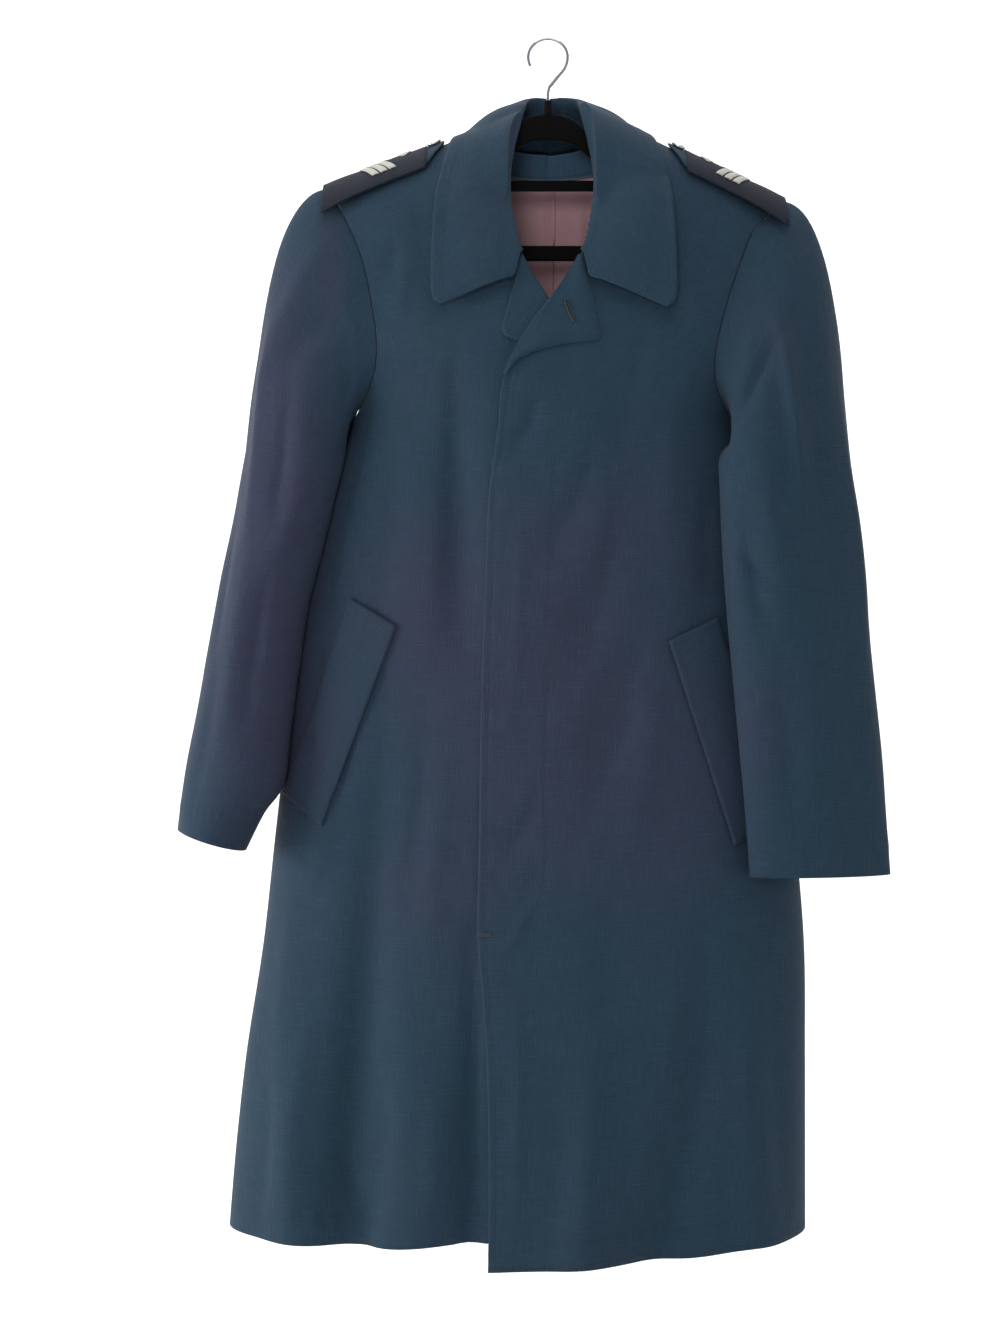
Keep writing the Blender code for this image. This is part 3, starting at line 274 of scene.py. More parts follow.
# Sleeve rings from the upper arm to the cuff: the outer and the inner side as seen, the depth of the
# ring's centre, its half depth, and how far its outer side lies behind the inner one per unit width
SLEEVE = {
    -1: Table(
        ("x_out", "z_out", "x_in", "z_in", "y", "half_depth", "lean"),
        (-302, -412, -199, -430, -22, 66, 0.00),
        (-319, -500, -220, -508, -28, 64, 0.00),
        (-331, -560, -237, -566, -32, 61, 0.00),
        (-342, -620, -247, -628, -37, 57, 0.00),
        (-352, -680, -257, -692, -41, 53, 0.00),
        (-362, -728, -264, -744, -45, 50, 0.02),
        (-367, -760, -284, -774, -48, 50, 0.05),
        (-370, -788, -302, -810, -50, 52, 0.08),
    ),
    1: Table(
        ("x_out", "z_out", "x_in", "z_in", "y", "half_depth", "lean"),
        (303, -425, 171, -432, -58, 48, 0.36),
        (316, -520, 175, -523, -60, 45, 0.36),
        (321, -585, 180, -588, -62, 42, 0.34),
        (327, -650, 186, -651, -65, 38, 0.32),
        (333, -705, 191, -706, -68, 34, 0.30),
        (338, -770, 197, -772, -71, 30, 0.27),
        (342, -834, 202, -837, -74, 26, 0.24),
    ),
}

SLEEVE_LENGTH = 640.0
CUFF_HEM = 32.0  # how far the cuff's hem seam lies above its edge

# How straight out a sleeve leaves its armhole, and how straight down it comes into the arm
HEAD_OUT = 0.62
HEAD_DOWN = 1.0

# The collar's wearer's-right half from its front end to the centre back: the roll line, the middle of
# the leaf and the leaf's edge, as seen. Rows 0 to 7 stand on the front neckline, 7 to 11 on the back
COLLAR = Table(
    ("row", "roll_x", "roll_y", "roll_z", "mid_x", "mid_z", "edge_x", "edge_y", "edge_z"),
    (0, -27, -79, -211, -30, -252, -107, -84, -264),
    (0.4, -28, -78, -206, -46, -236, -114, -84, -259),
    (1, -30, -76, -199, -60, -225, -117, -82, -248),
    (2, -34, -68, -181, -72, -200, -117, -78, -222),
    (3, -37, -58, -162, -74, -176, -116, -72, -192),
    (4, -38, -46, -142, -73, -153, -114, -64, -164),
    (5, -36, -35, -119, -70, -130, -110, -52, -141),
    (6, -31, -22, -93, -64, -104, -102, -32, -119),
    (7, -25, -2, -67, -57, -80, -91, 2, -98),
    (8, -24, 14, -61, -55, -78, -87, 28, -107),
    (9, -20, 28, -58, -46, -80, -74, 48, -119),
    (10, -11, 38, -58, -26, -86, -44, 62, -129),
    (11, 0, 42, -60, 0, -90, 0, 68, -133),
)
NECK_CENTRE = 4.0  # the neck opening's centre
LEFT_LEAF = 1.05  # the leaf on the wearer's left hangs this much longer
COLLAR_FOLD = 6.0  # thickness of the folded collar at its roll
FRONT_FOLD = 0.4  # share of that thickness left at the front ends
FOOT_RISE = 1.6  # the stand's foot above the neck seam
LEAF_ARCH = 6.0  # how far the leaf rises between its roll and its edge
LEAF_LIFT = 2.4  # its underside above the body
NOTCH = (-6.0, -25.0)  # from the roll line's end to the corner by the lapel
NOTCH_SHARE = 0.24  # of the leaf's width

# Lapels: the roll line and the free edge from the collar's end to the roll line's foot, as seen
LAPEL = {
    -1: {
        "roll": ((-27, -216), (-16, -233), (0, -258), (10, -276)),
        "edge": ((-30, -217), (-33, -240), (-47, -288), (-44, -295), (-28, -301), (-6, -298), (8, -280)),
    },
    1: {
        "roll": ((31, -214), (10, -246), (-16, -281), (-34, -309), (-44, -334)),
        "edge": ((35, -215), (39, -236), (46, -258), (54, -296), (51, -300), (14, -304), (-13, -311),
                 (-30, -319), (-42, -335)),
    },
}

# Slanted pocket welts: top outer, top inner, bottom inner and bottom outer corner, as seen
WELT = {
    -1: ((-199, -558), (-152, -586), (-227, -786), (-265, -754)),
    1: ((171, -577), (121, -601), (187, -806), (232, -778)),
}

# Shoulder straps with rank slides
STRAP_FORWARD = 10.0  # how far the strap's middle lies before the shoulder line
STRAP_FALL = 26.0  # how far the slide's front edge lies below that line
TIP_FALL = 6.0  # how much more it falls at the shoulder's tip
TIP_REACH = 22.0  # how far in from the tip that fades
SHOULDER_BELOW = 40.0  # where the body's depth is read, below the shoulder line
STRAP_PLAY = 0.4  # between the slide's wall and the strap in it
BUTTON_AT = 114.0  # along the strap
SLIDE_END = 106.0
STRAP_HALF_WIDTH = 25.0
STRAP_LENGTH = 128.0
STRAP_THICK = 2.0
SLIDE_HALF_WIDTH = 28.0
SLIDE_WALL = 0.9
SLIDE_LIFT = 0.9  # the slide's underside above the shoulder
SLIDE_HEIGHT = 4.6  # the slide's top above its underside
CHEVRON_AT = 34.0  # where the outer chevron's point lies along the strap
MOTIF_AT = 82.0
CHEVRON_WIDTH = 7.4
CHEVRON_PITCH = 9.0
CHEVRON_HALF = 19.0
CHEVRON_SLOPE = 0.8
CHEVRON_THICK = 0.8

# A strap button's half section: distance from its middle and height, in millimetres
BUTTON_PROFILE = (
    (0, 3.6), (2.2, 3.5), (4.2, 3.1), (5.6, 2.5), (6.2, 2.3), (6.6, 2.7), (7.1, 2.7), (7.5, 2.1),
    (7.5, 1.0), (7.1, 0.4), (6.0, 0.0), (0, 0.0),
)

# Facing and lining inside the back neck
FACING_HALF = 62.0
FACING_FOOT_Z = -129.0
LINING_HALF = 92.0
LINING_FOOT_Z = -372.0
LINING_THICK = 1.0
PLEAT_DEPTH = 4.2
PLEAT_X = 9.0

# The hanger: the frame's outer and inner outline from the centre top to the centre bottom, half of it
FRAME_HALF_THICK = 3.2
FRAME_CENTRE = ((0, -75, -100), (12, -75.5, -100.5), (24, -80, -104), (34, -88, -111), (46, -98, -121))
FRAME_ARM_X = (70, 95, 120, 145, 170, 190)
FRAME_ARM_HEIGHT = 24.0
FRAME_END_X = 204.0
FRAME_BAR_TOP = -206.0
FRAME_BAR_FOOT = -221.0
ARM_SEAT = 2.0  # the arm's top below the wall at its centre, so that its edges just clear the rounded inside


def on_sight(x: float, y: float, z: float) -> tuple:
    """The point at depth y on the eye's line through (x, z) of the hanger's plane."""
    scale = (y - EYE[1]) / -EYE[1]
    return EYE[0] + (x - EYE[0]) * scale, EYE[2] + (z - EYE[2]) * scale


def smooth(edge: Array) -> Array:
    """A smooth step from 0 to 1 of a value that is clipped to that range."""
    edge = np.clip(edge, 0, 1)
    return edge * edge * (3 - 2 * edge)


def shoulder_z(x: Array) -> Array:
    """Height of the shoulder line.

    Args:
        x: across.

    Returns:
        The line's height there.
    """
    x = np.asarray(x, float)
    result = np.zeros_like(x)
    for side, line in SHOULDERS.items():
        (x0, z0), (x1, z1) = line["neck"], line["tip"]
        here = z0 + (x - x0) * (z1 - z0) / (x1 - x0)
        result = np.where(x * side >= 0, here, result)
    return result


def half_width(x: Array, z: Array) -> Array:
    """The body's half width at z, on the side of x."""
    return np.where(np.asarray(x) < 0, BODY.at(z, "right"), BODY.at(z, "left"))


def fold_height(x: Array, z: Array, folds: Table, depth: float) -> Array:
    """Sum of the large soft folds at a point.

    Args:
        x: across, in millimetres.
        z: up.
        folds: the table of folds.
        depth: the depth at which its sizes were seen.

    Returns:
        How far the cloth stands out there, in millimetres.
    """
    total = np.zeros(np.broadcast(x, z).shape)
    for x0, z0, x1, z1, width, height in folds.rows:
        x0, z0 = on_sight(x0, depth, z0)
        x1, z1 = on_sight(x1, depth, z1)
        along = np.array((x1 - x0, z1 - z0))
        length = np.linalg.norm(along)
        along /= length
        t = ((x - x0) * along[0] + (z - z0) * along[1]) / length
        off = -(x - x0) * along[1] + (z - z0) * along[0]
        grown = np.clip(t, 0, 1)
        rise = grown * grown * (3 - 2 * grown) if z1 < -900 else np.sin(np.pi * grown) ** 2
        total += height * rise * np.exp(-((off / width) ** 2))
    return total


def section(x: Array, z: Array, depth: Array) -> Array:
    """Depth of the plain body, rounded at the sides and over the shoulders.

    Args:
        x: across.
        z: up.
        depth: the depth at the body's middle.

    Returns:
        The depth there.
    """
    across = np.clip(np.abs(x) / half_width(x, z), 0, 1)
    side = (1 - across**ROUND) ** (1 / ROUND)
    down = np.clip((shoulder_z(x) - z) / SHOULDER_DROP, 0, 1)
    return depth * side * np.sqrt(1 - (1 - down) ** 2)


def front_depth(x: Array, z: Array, side: int = 0) -> Array:
    """How far the front's face lies before the hanger.

    Args:
        x: across.
        z: up.
        side: 1 for the over front, which stands off the under one.

    Returns:
        The depth towards -Y, in millimetres.
    """
    plain = section(x, z, BODY.at(z, "front"))
    inward = np.clip(1.6 * plain / np.maximum(BODY.at(z, "front"), 1), 0, 1)
    depth = plain + inward * fold_height(x, z, FRONT_FOLDS, -100)
    if side == 1:
        near = np.clip((OVERLAP_END - x) / 30, 0, 1)
        lapel = np.clip((18 - x) / 30, 0, 1) * np.clip((z + 395) / 60, 0, 1)
        depth = depth + OVERLAP_LIFT * near + LAPEL_LIFT * lapel
    return depth


def back_depth(x: Array, z: Array) -> Array:
    """How far the back's face lies behind the hanger.

    Args:
        x: across.
        z: up.

    Returns:
        The depth towards +Y, in millimetres.
    """
    plain = section(x, z, BODY.at(z, "back"))
    inward = np.clip(1.6 * plain / np.maximum(BODY.at(z, "back"), 1), 0, 1)
    return plain + inward * fold_height(x, z, BACK_FOLDS, 0)


def on_front(x: float, z: float, side: int, lift: float = 0.0) -> Array:
    """The point seen at (x, z), on the front's face or lifted off it.

    Args:
        x: across, as seen.
        z: up, as seen.
        side: the front's side.
        lift: how far off the face.

    Returns:
        The point.
    """
    y = -80.0
    for _ in range(6):
        true_x, true_z = on_sight(x, y, z)
        y = -float(front_depth(np.array(true_x), np.array(true_z), side)) - lift
    return np.array((true_x, y, true_z))


def raised(point: Array, lift: float) -> Array:
    """Moves a point out of the body where it lies in it or within lift of it.

    Args:
        point: x, y and z in millimetres.
        lift: the least distance from the body's face.

    Returns:
        The point, moved if it had to be.
    """
    x, y, z = point
    side = 1 if x > 0 else -1
    reach = float(BODY.at(z, "front" if y < 0 else "back"))
    across = min(abs(x) / float(half_width(x, z)), 1)
    reach *= (1 - across**ROUND) ** (1 / ROUND)
    depth = float(front_depth(x, z, side) if y < 0 else back_depth(x, z))
    centre = float(shoulder_z(x)) - SHOULDER_DROP
    rise = max(z - centre, 0)
    if rise == 0:
        return np.array((x, math.copysign(max(abs(y), depth + lift), y), z))
    far = math.hypot(y, rise)
    plain = far / math.hypot(y / reach, rise / SHOULDER_DROP)
    standing = max(depth - float(section(x, z, BODY.at(z, "front" if y < 0 else "back"))), 0)
    scale = max(1, (plain + lift + standing * abs(y) / far) / far)
    return np.array((x, y * scale, centre + rise * scale))


def lengths_along(points: Array) -> Array:
    """How far each point lies along its polyline."""
    steps = np.linalg.norm(np.diff(points, axis=0), axis=1)
    return np.concatenate([[0], np.cumsum(steps)])


def smooth_path(points: Sequence, fractions: Array) -> Array:
    """Points at these fractions of the way along a smooth curve through the given ones.

    Args:
        points: the points that the curve passes through.
        fractions: from 0 to 1.

    Returns:
        One row a fraction.
    """
    points = np.array(points, float)
    far = lengths_along(points)
    fine = np.linspace(0, far[-1], 400)
    slopes = np.gradient(points, far, axis=0)
    i = np.clip(np.searchsorted(far, fine) - 1, 0, len(far) - 2)
    span = (far[i + 1] - far[i])[:, None]
    t = (fine - far[i])[:, None] / span
    curve = cubic(t, span, points[i], points[i + 1], slopes[i], slopes[i + 1])
    far = lengths_along(curve)
    goal = np.asarray(fractions) * far[-1]
    return np.stack([np.interp(goal, far, curve[:, k]) for k in range(points.shape[1])], -1)


def path_fractions(points: Sequence, fractions: Array) -> Array:
    """Points along a polyline.

    Args:
        points: its corners.
        fractions: of its length, from 0 to 1.

    Returns:
        One row a fraction.
    """
    points = np.array(points, float)
    far = lengths_along(points) / lengths_along(points)[-1]
    return np.stack([np.interp(fractions, far, points[:, k]) for k in range(points.shape[1])], -1)


def grid_normals(grid: Array, towards: Array, closed: bool = False) -> Array:
    """Unit normals of a grid of points.

    Args:
        grid: rows, columns and coordinates.
        towards: a direction, or one a point, that the normals should agree with.
        closed: True where the last column meets the first.

    Returns:
        A grid of unit vectors.
    """
    rows = np.gradient(grid, axis=0)
    if closed:
        columns = np.roll(grid, -1, axis=1) - np.roll(grid, 1, axis=1)
    else:
        columns = np.gradient(grid, axis=1)
    normals = np.cross(rows, columns)
    normals /= np.maximum(np.linalg.norm(normals, axis=2, keepdims=True), 1e-9)
    if (normals * towards).sum() < 0:
        normals = -normals
    return normals


def wander(x: Array, z: Array, scale: float, seed: float) -> Array:
    """A smooth, uneven and always equal wave field between about -1 and 1.

    Args:
        x: across, in millimetres.
        z: up.
        scale: the size of its blobs, in millimetres.
        seed: shifts the field.

    Returns:
        The field's values.
    """
    total = np.zeros(np.broadcast(x, z).shape)
    for k, (turn, pace) in enumerate(((0.3, 1.0), (1.5, 1.27), (2.4, 0.81), (0.9, 1.63), (2.9, 1.9))):
        phase = seed * (k + 1.7) * 2.399
        way = (x * math.cos(turn + seed) + z * math.sin(turn + seed)) / scale
        total += np.sin(2 * math.pi * way * pace / 2 + phase) / (1 + 0.35 * k)
    return total / 2.4


def creases(x: Array, z: Array, table: Table) -> Array:
    """Small creases that fade at both ends, from a table of the same columns as the folds.

    Args:
        x: across.
        z: up.
        table: rows of x0, z0, x1, z1, bend, width and height.

    Returns:
        How far the cloth stands out there, in millimetres.
    """
    total = np.zeros(np.broadcast(x, z).shape)
    for x0, z0, x1, z1, bend, width, height in table.rows:
        along = np.array((x1 - x0, z1 - z0))
        length = np.linalg.norm(along)
        along /= length
        t = ((x - x0) * along[0] + (z - z0) * along[1]) / length
        off = -(x - x0) * along[1] + (z - z0) * along[0]
        inside = np.clip(t, 0, 1)
        off = off - bend * np.sin(math.pi * inside)
        rise = np.sin(math.pi * inside) ** 0.8
        beyond = np.maximum(np.maximum(-t, t - 1), 0) * length
        grown = width * (0.75 + 0.5 * inside)
        total += height * rise * np.exp(-np.abs(off / grown) ** 1.7 - (beyond / 8) ** 2)
    return CREASE_STRENGTH * total


# Creases in the fronts, as they lie: from, to, sideways bend, half width and height
FRONT_CREASES = {
    -1: Table(
        ("x0", "z0", "x1", "z1", "bend", "width", "height"),
        (-90, -300, -84, -650, -6, 17, -3.8),
        (-75, -850, -72, -1205, 0, 9, -5.0),
        (-158, -620, -196, -1180, 6, 20, -3.4),
        (-248, -800, -262, -1190, -5, 18, 3.2),
        (-104, -330, -118, -600, 6, 12, 1.6),
        (-58, -470, -64, -760, 5, 11, 1.4),
        (-150, -400, -176, -610, 7, 14, -2.2),
        (-176, -420, -205, -560, -6, 11, 1.7),
        (-120, -640, -150, -905, 8, 10, -1.8),
        (-98, -700, -112, -960, -6, 12, 1.5),
        (-196, -640, -216, -800, 6, 8, -1.6),
        (-214, -700, -238, -860, 8, 9, 1.8),
        (-46, -880, -54, -1190, 5, 9, -2.6),
        (-160, -1010, -186, -1215, 10, 9, -2.6),
        (-200, -1090, -178, -1215, 6, 8, -2.8),
        (-232, -960, -254, -1200, -7, 13, 2.6),
        (-112, -1020, -120, -1205, 5, 11, 2.0),
        (-270, -1010, -286, -1190, 5, 9, -1.8),
        (-150, -205, -176, -262, 7, 9, -1.8),
        (-140, -235, -165, -300, 8, 8, 1.2),
        (-34, -320, -40, -520, 5, 9, -1.2),
        (-30, -560, -44, -700, -5, 8, 1.0),
        (-128, -160, -100, -300, -7, 16, -1.5),
    ),
    1: Table(
        ("x0", "z0", "x1", "z1", "bend", "width", "height"),
        (-8, -362, -46, -430, 5, 8, -2.0),
        (44, -402, -4, -520, 8, 10, -2.2),
        (58, -430, 22, -560, 8, 11, 1.4),
        (62, -482, 14, -660, 10, 11, -2.0),
        (90, -582, 20, -802, 12, 12, -2.2),
        (104, -640, 50, -850, 10, 12, 1.6),
        (-8, -732, -46, -812, 5, 7, -1.6),
        (-8, -802, -28, -848, 3, 6, -1.5),
        (-20, -855, -52, -905, 4, 7, 1.2),
        (128, -330, 118, -560, -8, 16, 1.7),
        (150, -420, 138, -640, 7, 13, -1.9),
        (96, -300, 70, -420, -5, 13, -1.5),
        (172, -640, 186, -800, -5, 9, -1.4),
        (150, -840, 110, -1180, 12, 12, -2.4),
        (122, -900, 84, -1160, 8, 12, 1.8),
        (196, -900, 190, -1180, -6, 12, 2.4),
        (214, -940, 222, -1180, 4, 9, -2.2),
        (48, -960, 36, -1210, -6, 13, 1.8),
        (6, -1000, -2, -1225, 4, 11, -1.6),
        (-34, -940, -36, -1200, 4, 9, 1.3),
        (150, -215, 172, -280, -7, 9, -1.8),
        (140, -250, 160, -320, -6, 9, 1.2),
        (-30, -470, -40, -700, 4, 8, 0.9),
    ),
}

# Creases in the back, which the photograph hides: like those in the front
BACK_CREASES = Table(
    ("x0", "z0", "x1", "z1", "bend", "width", "height"),
    (-150, -200, -120, -330, -8, 13, -2.2),
    (-170, -240, -140, -400, -8, 11, 1.6),
    (150, -210, 124, -350, 8, 13, -2.1),
    (172, -250, 144, -410, 8, 11, 1.5),
    (-60, -150, 66, -156, -8, 9, -1.4),
    (-90, -360, -104, -640, 8, 14, -2.0),
    (-50, -420, -60, -760, -6, 12, 1.6),
    (60, -380, 72, -700, 6, 13, -2.1),
    (98, -400, 112, -690, -6, 12, 1.4),
    (-136, -560, -170, -900, 8, 12, 2.0),
    (-176, -700, -206, -1100, 6, 10, -2.2),
    (136, -600, 160, -920, -7, 12, 2.0),
    (186, -760, 200, -1120, 5, 10, -2.2),
    (-30, -700, -44, -1140, 7, 13, -2.4),
    (24, -760, 34, -1150, -6, 13, 2.0),
    (-112, -840, -136, -1165, 6, 11, -2.4),
    (70, -880, 84, -1160, 5, 10, -2.2),
    (-240, -860, -262, -1140, -6, 10, 1.8),
    (120, -980, 130, -1165, 4, 9, 1.6),
    (-4, -270, 2, -520, 4, 10, 1.1),
)

# Creases along the sleeves: from and to as shares of the sleeve's length and angles in degrees
# round it, 0 being the outer side and 90 the front, then the half width in degrees and the height
SLEEVE_CREASES = {
    -1: Table(
        ("s0", "angle0", "s1", "angle1", "width", "height"),
        (0.05, 100, 0.22, 62, 11, -4.2),
        (0.03, 62, 0.26, 40, 10, 3.2),
        (0.08, 128, 0.24, 150, 10, -3.4),
        (0.14, 34, 0.50, 60, 10, 3.4),
        (0.20, 74, 0.46, 88, 11, -3.4),
        (0.28, 118, 0.52, 104, 12, 2.6),
        (0.36, 150, 0.56, 122, 10, -3.2),
        (0.40, 24, 0.70, 42, 12, -2.6),
        (0.46, 66, 0.84, 74, 12, 2.6),
        (0.52, 96, 0.80, 100, 10, -2.6),
        (0.60, 130, 0.94, 118, 10, 1.9),
        (0.68, 50, 0.97, 54, 10, -1.8),
        (0.44, 170, 0.52, 96, 8, -2.4),
        (0.50, 176, 0.60, 110, 8, -2.0),
        (0.06, 255, 0.30, 300, 13, -3.6),
        (0.20, 230, 0.50, 268, 13, 3.2),
        (0.36, 285, 0.66, 262, 12, -3.0),
        (0.50, 228, 0.90, 240, 12, -2.4),
        (0.60, 292, 0.94, 284, 12, 2.2),
    ),
    1: Table(
        ("s0", "angle0", "s1", "angle1", "width", "height"),
        (0.11, 84, 0.19, 146, 15, -4.2),
        (0.06, 96, 0.16, 150, 12, 2.4),
        (0.07, 80, 0.44, 86, 6, 4.8),
        (0.09, 60, 0.50, 66, 9, -3.8),
        (0.22, 30, 0.66, 26, 12, 2.8),
        (0.16, 92, 0.44, 88, 12, -2.6),
        (0.28, 118, 0.58, 104, 12, 2.4),
        (0.40, 140, 0.62, 120, 10, -2.6),
        (0.52, 84, 0.86, 90, 12, 1.9),
        (0.56, 52, 0.94, 60, 12, -2.2),
        (0.66, 112, 0.96, 110, 11, -1.8),
        (0.44, 160, 0.54, 100, 8, -2.0),
        (0.05, 250, 0.30, 288, 13, -3.6),
        (0.22, 300, 0.54, 272, 13, 3.0),
        (0.40, 240, 0.72, 252, 12, -3.0),
        (0.56, 286, 0.94, 280, 12, -2.0),
        (0.62, 226, 0.96, 236, 12, 2.0),
    ),
}

# Creases in the lining inside the back neck
LINING_CREASES = Table(
    ("x0", "z0", "x1", "z1", "bend", "width", "height"),
    (-40, -150, -26, -230, 4, 6, 1.4),
    (-18, -160, -30, -250, -4, 6, -1.4),
    (34, -150, 26, -240, 4, 6, 1.3),
    (52, -170, 40, -270, -5, 7, -1.4),
    (-60, -170, -52, -300, 5, 7, 1.5),
    (-8, -190, -16, -300, 3, 6, 1.0),
    (20, -210, 30, -320, -4, 6, 1.2),
)

# Where the shot cloth's own violet threads show, in fixed patches that are partly painted sheen where the
# light brings the violet out, as seen: middle, half sizes and strength
SHOT_AND_SHEEN_PATCHES = Table(
    ("x0", "z0", "half_x", "half_z", "strength"),
    (-276, -480, 56, 250, 1.3),
    (-216, -230, 12, 62, 0.6),
    (-300, -720, 60, 120, 0.4),
    (10, -660, 110, 150, 0.95),
    (-128, -590, 60, 120, 0.6),
    (60, -500, 110, 70, 0.4),
    (-118, -845, 70, 60, 0.45),
    (190, -700, 60, 90, 0.4),
    (100, -800, 90, 90, 0.35),
    (-230, -690, 40, 70, 0.3),
    (230, -300, 30, 60, 0.2),
)

# Hem and edge sewing
STITCH_LENGTH = 3.2
STITCH_PITCH = 4.4
STITCH_WIDTH = 0.7
STITCH_THICK = 0.5
STITCH_LIFT = 0.12  # a stitch's middle above the cloth
EDGE_STITCH = 6.5  # the edge stitching's distance from the edge
HEM_STITCH = 29.0
HEM_EDGE_STITCH = 5.0
LAPEL_STITCH = EDGE_STITCH - 1
LEAF_STITCH = 11.5
LEAF_END_STITCH = 8.0
WELT_STITCHES = (4.0, 10.0)  # the welt's two rows of stitches from each end
WELT_SIDE_STITCH = 5.0
FACING_STITCH_ROW = 11.2  # which row of the facing's grid its stitches follow
PIPING_ROW = 13.0
SEAM_PITCH, SEAM_LENGTH, SEAM_WIDTH = 2.4, 2.2, 0.6
TACK_PITCH, TACK_LENGTH, TACK_WIDTH = 0.9, 1.6, 4.4

# The fly's stitching, the tack at its foot and the seam above the pocket, as seen
FLY_LINE = (
    (9, -380), (2, -470), (-2, -560), (-3, -650), (-6, -740), (-7, -844), (-14, -870), (-30, -888),
    (-57, -895),
)
TACK_LINE = ((-70, -895), (-64, -895), (-57, -895))
POCKET_SEAM = ((-221, -505), (-214, -548), (-206, -590))

# The worked buttonhole in the over lapel, as seen: its middle, which way it runs and its half sizes
HOLE_CENTRE = (21.5, -270.5)
HOLE_WAY = (9, -23)
HOLE_HALF_LENGTH = 12.0
HOLE_HALF_WIDTH = 1.2
HOLE_EYE = 1.6  # how much wider it is at its eye
HOLE_THREAD = 0.9
HOLE_LIFT = 3.1 + THIN_CLOTH  # above the front that the lapel lies on


def linear(hex_colour: str) -> tuple:
    """An sRGB hex colour as linear red, green, blue and alpha."""
    srgb = [int(hex_colour[i : i + 2], 16) / 255 for i in (0, 2, 4)]
    return (*[c / 12.92 if c <= 0.04045 else ((c + 0.055) / 1.055) ** 2.4 for c in srgb], 1.0)


def add_node(tree: bpy.types.NodeTree, kind: str, settings: dict, values: dict,
             links: dict) -> bpy.types.Node:
    """Adds a node.

    Args:
        tree: the material's node tree.
        kind: the node's type.
        settings: its own properties.
        values: constants on its inputs, by name or number.
        links: output sockets that feed its inputs, by name or number.

    Returns:
        The node.
    """
    node = tree.nodes.new(kind)
    for name, value in settings.items():
        setattr(node, name, value)
    for name, value in values.items():
        node.inputs[name].default_value = value
    for name, source in links.items():
        tree.links.new(source, node.inputs[name])
    return node


def new_material(name: str) -> tuple:
    """A material with a bare Principled shader.

    Args:
        name: its name.

    Returns:
        The material, its node tree and the shader.
    """
    made = bpy.data.materials.new(name)
    made.use_nodes = True
    return made, made.node_tree, made.node_tree.nodes["Principled BSDF"]


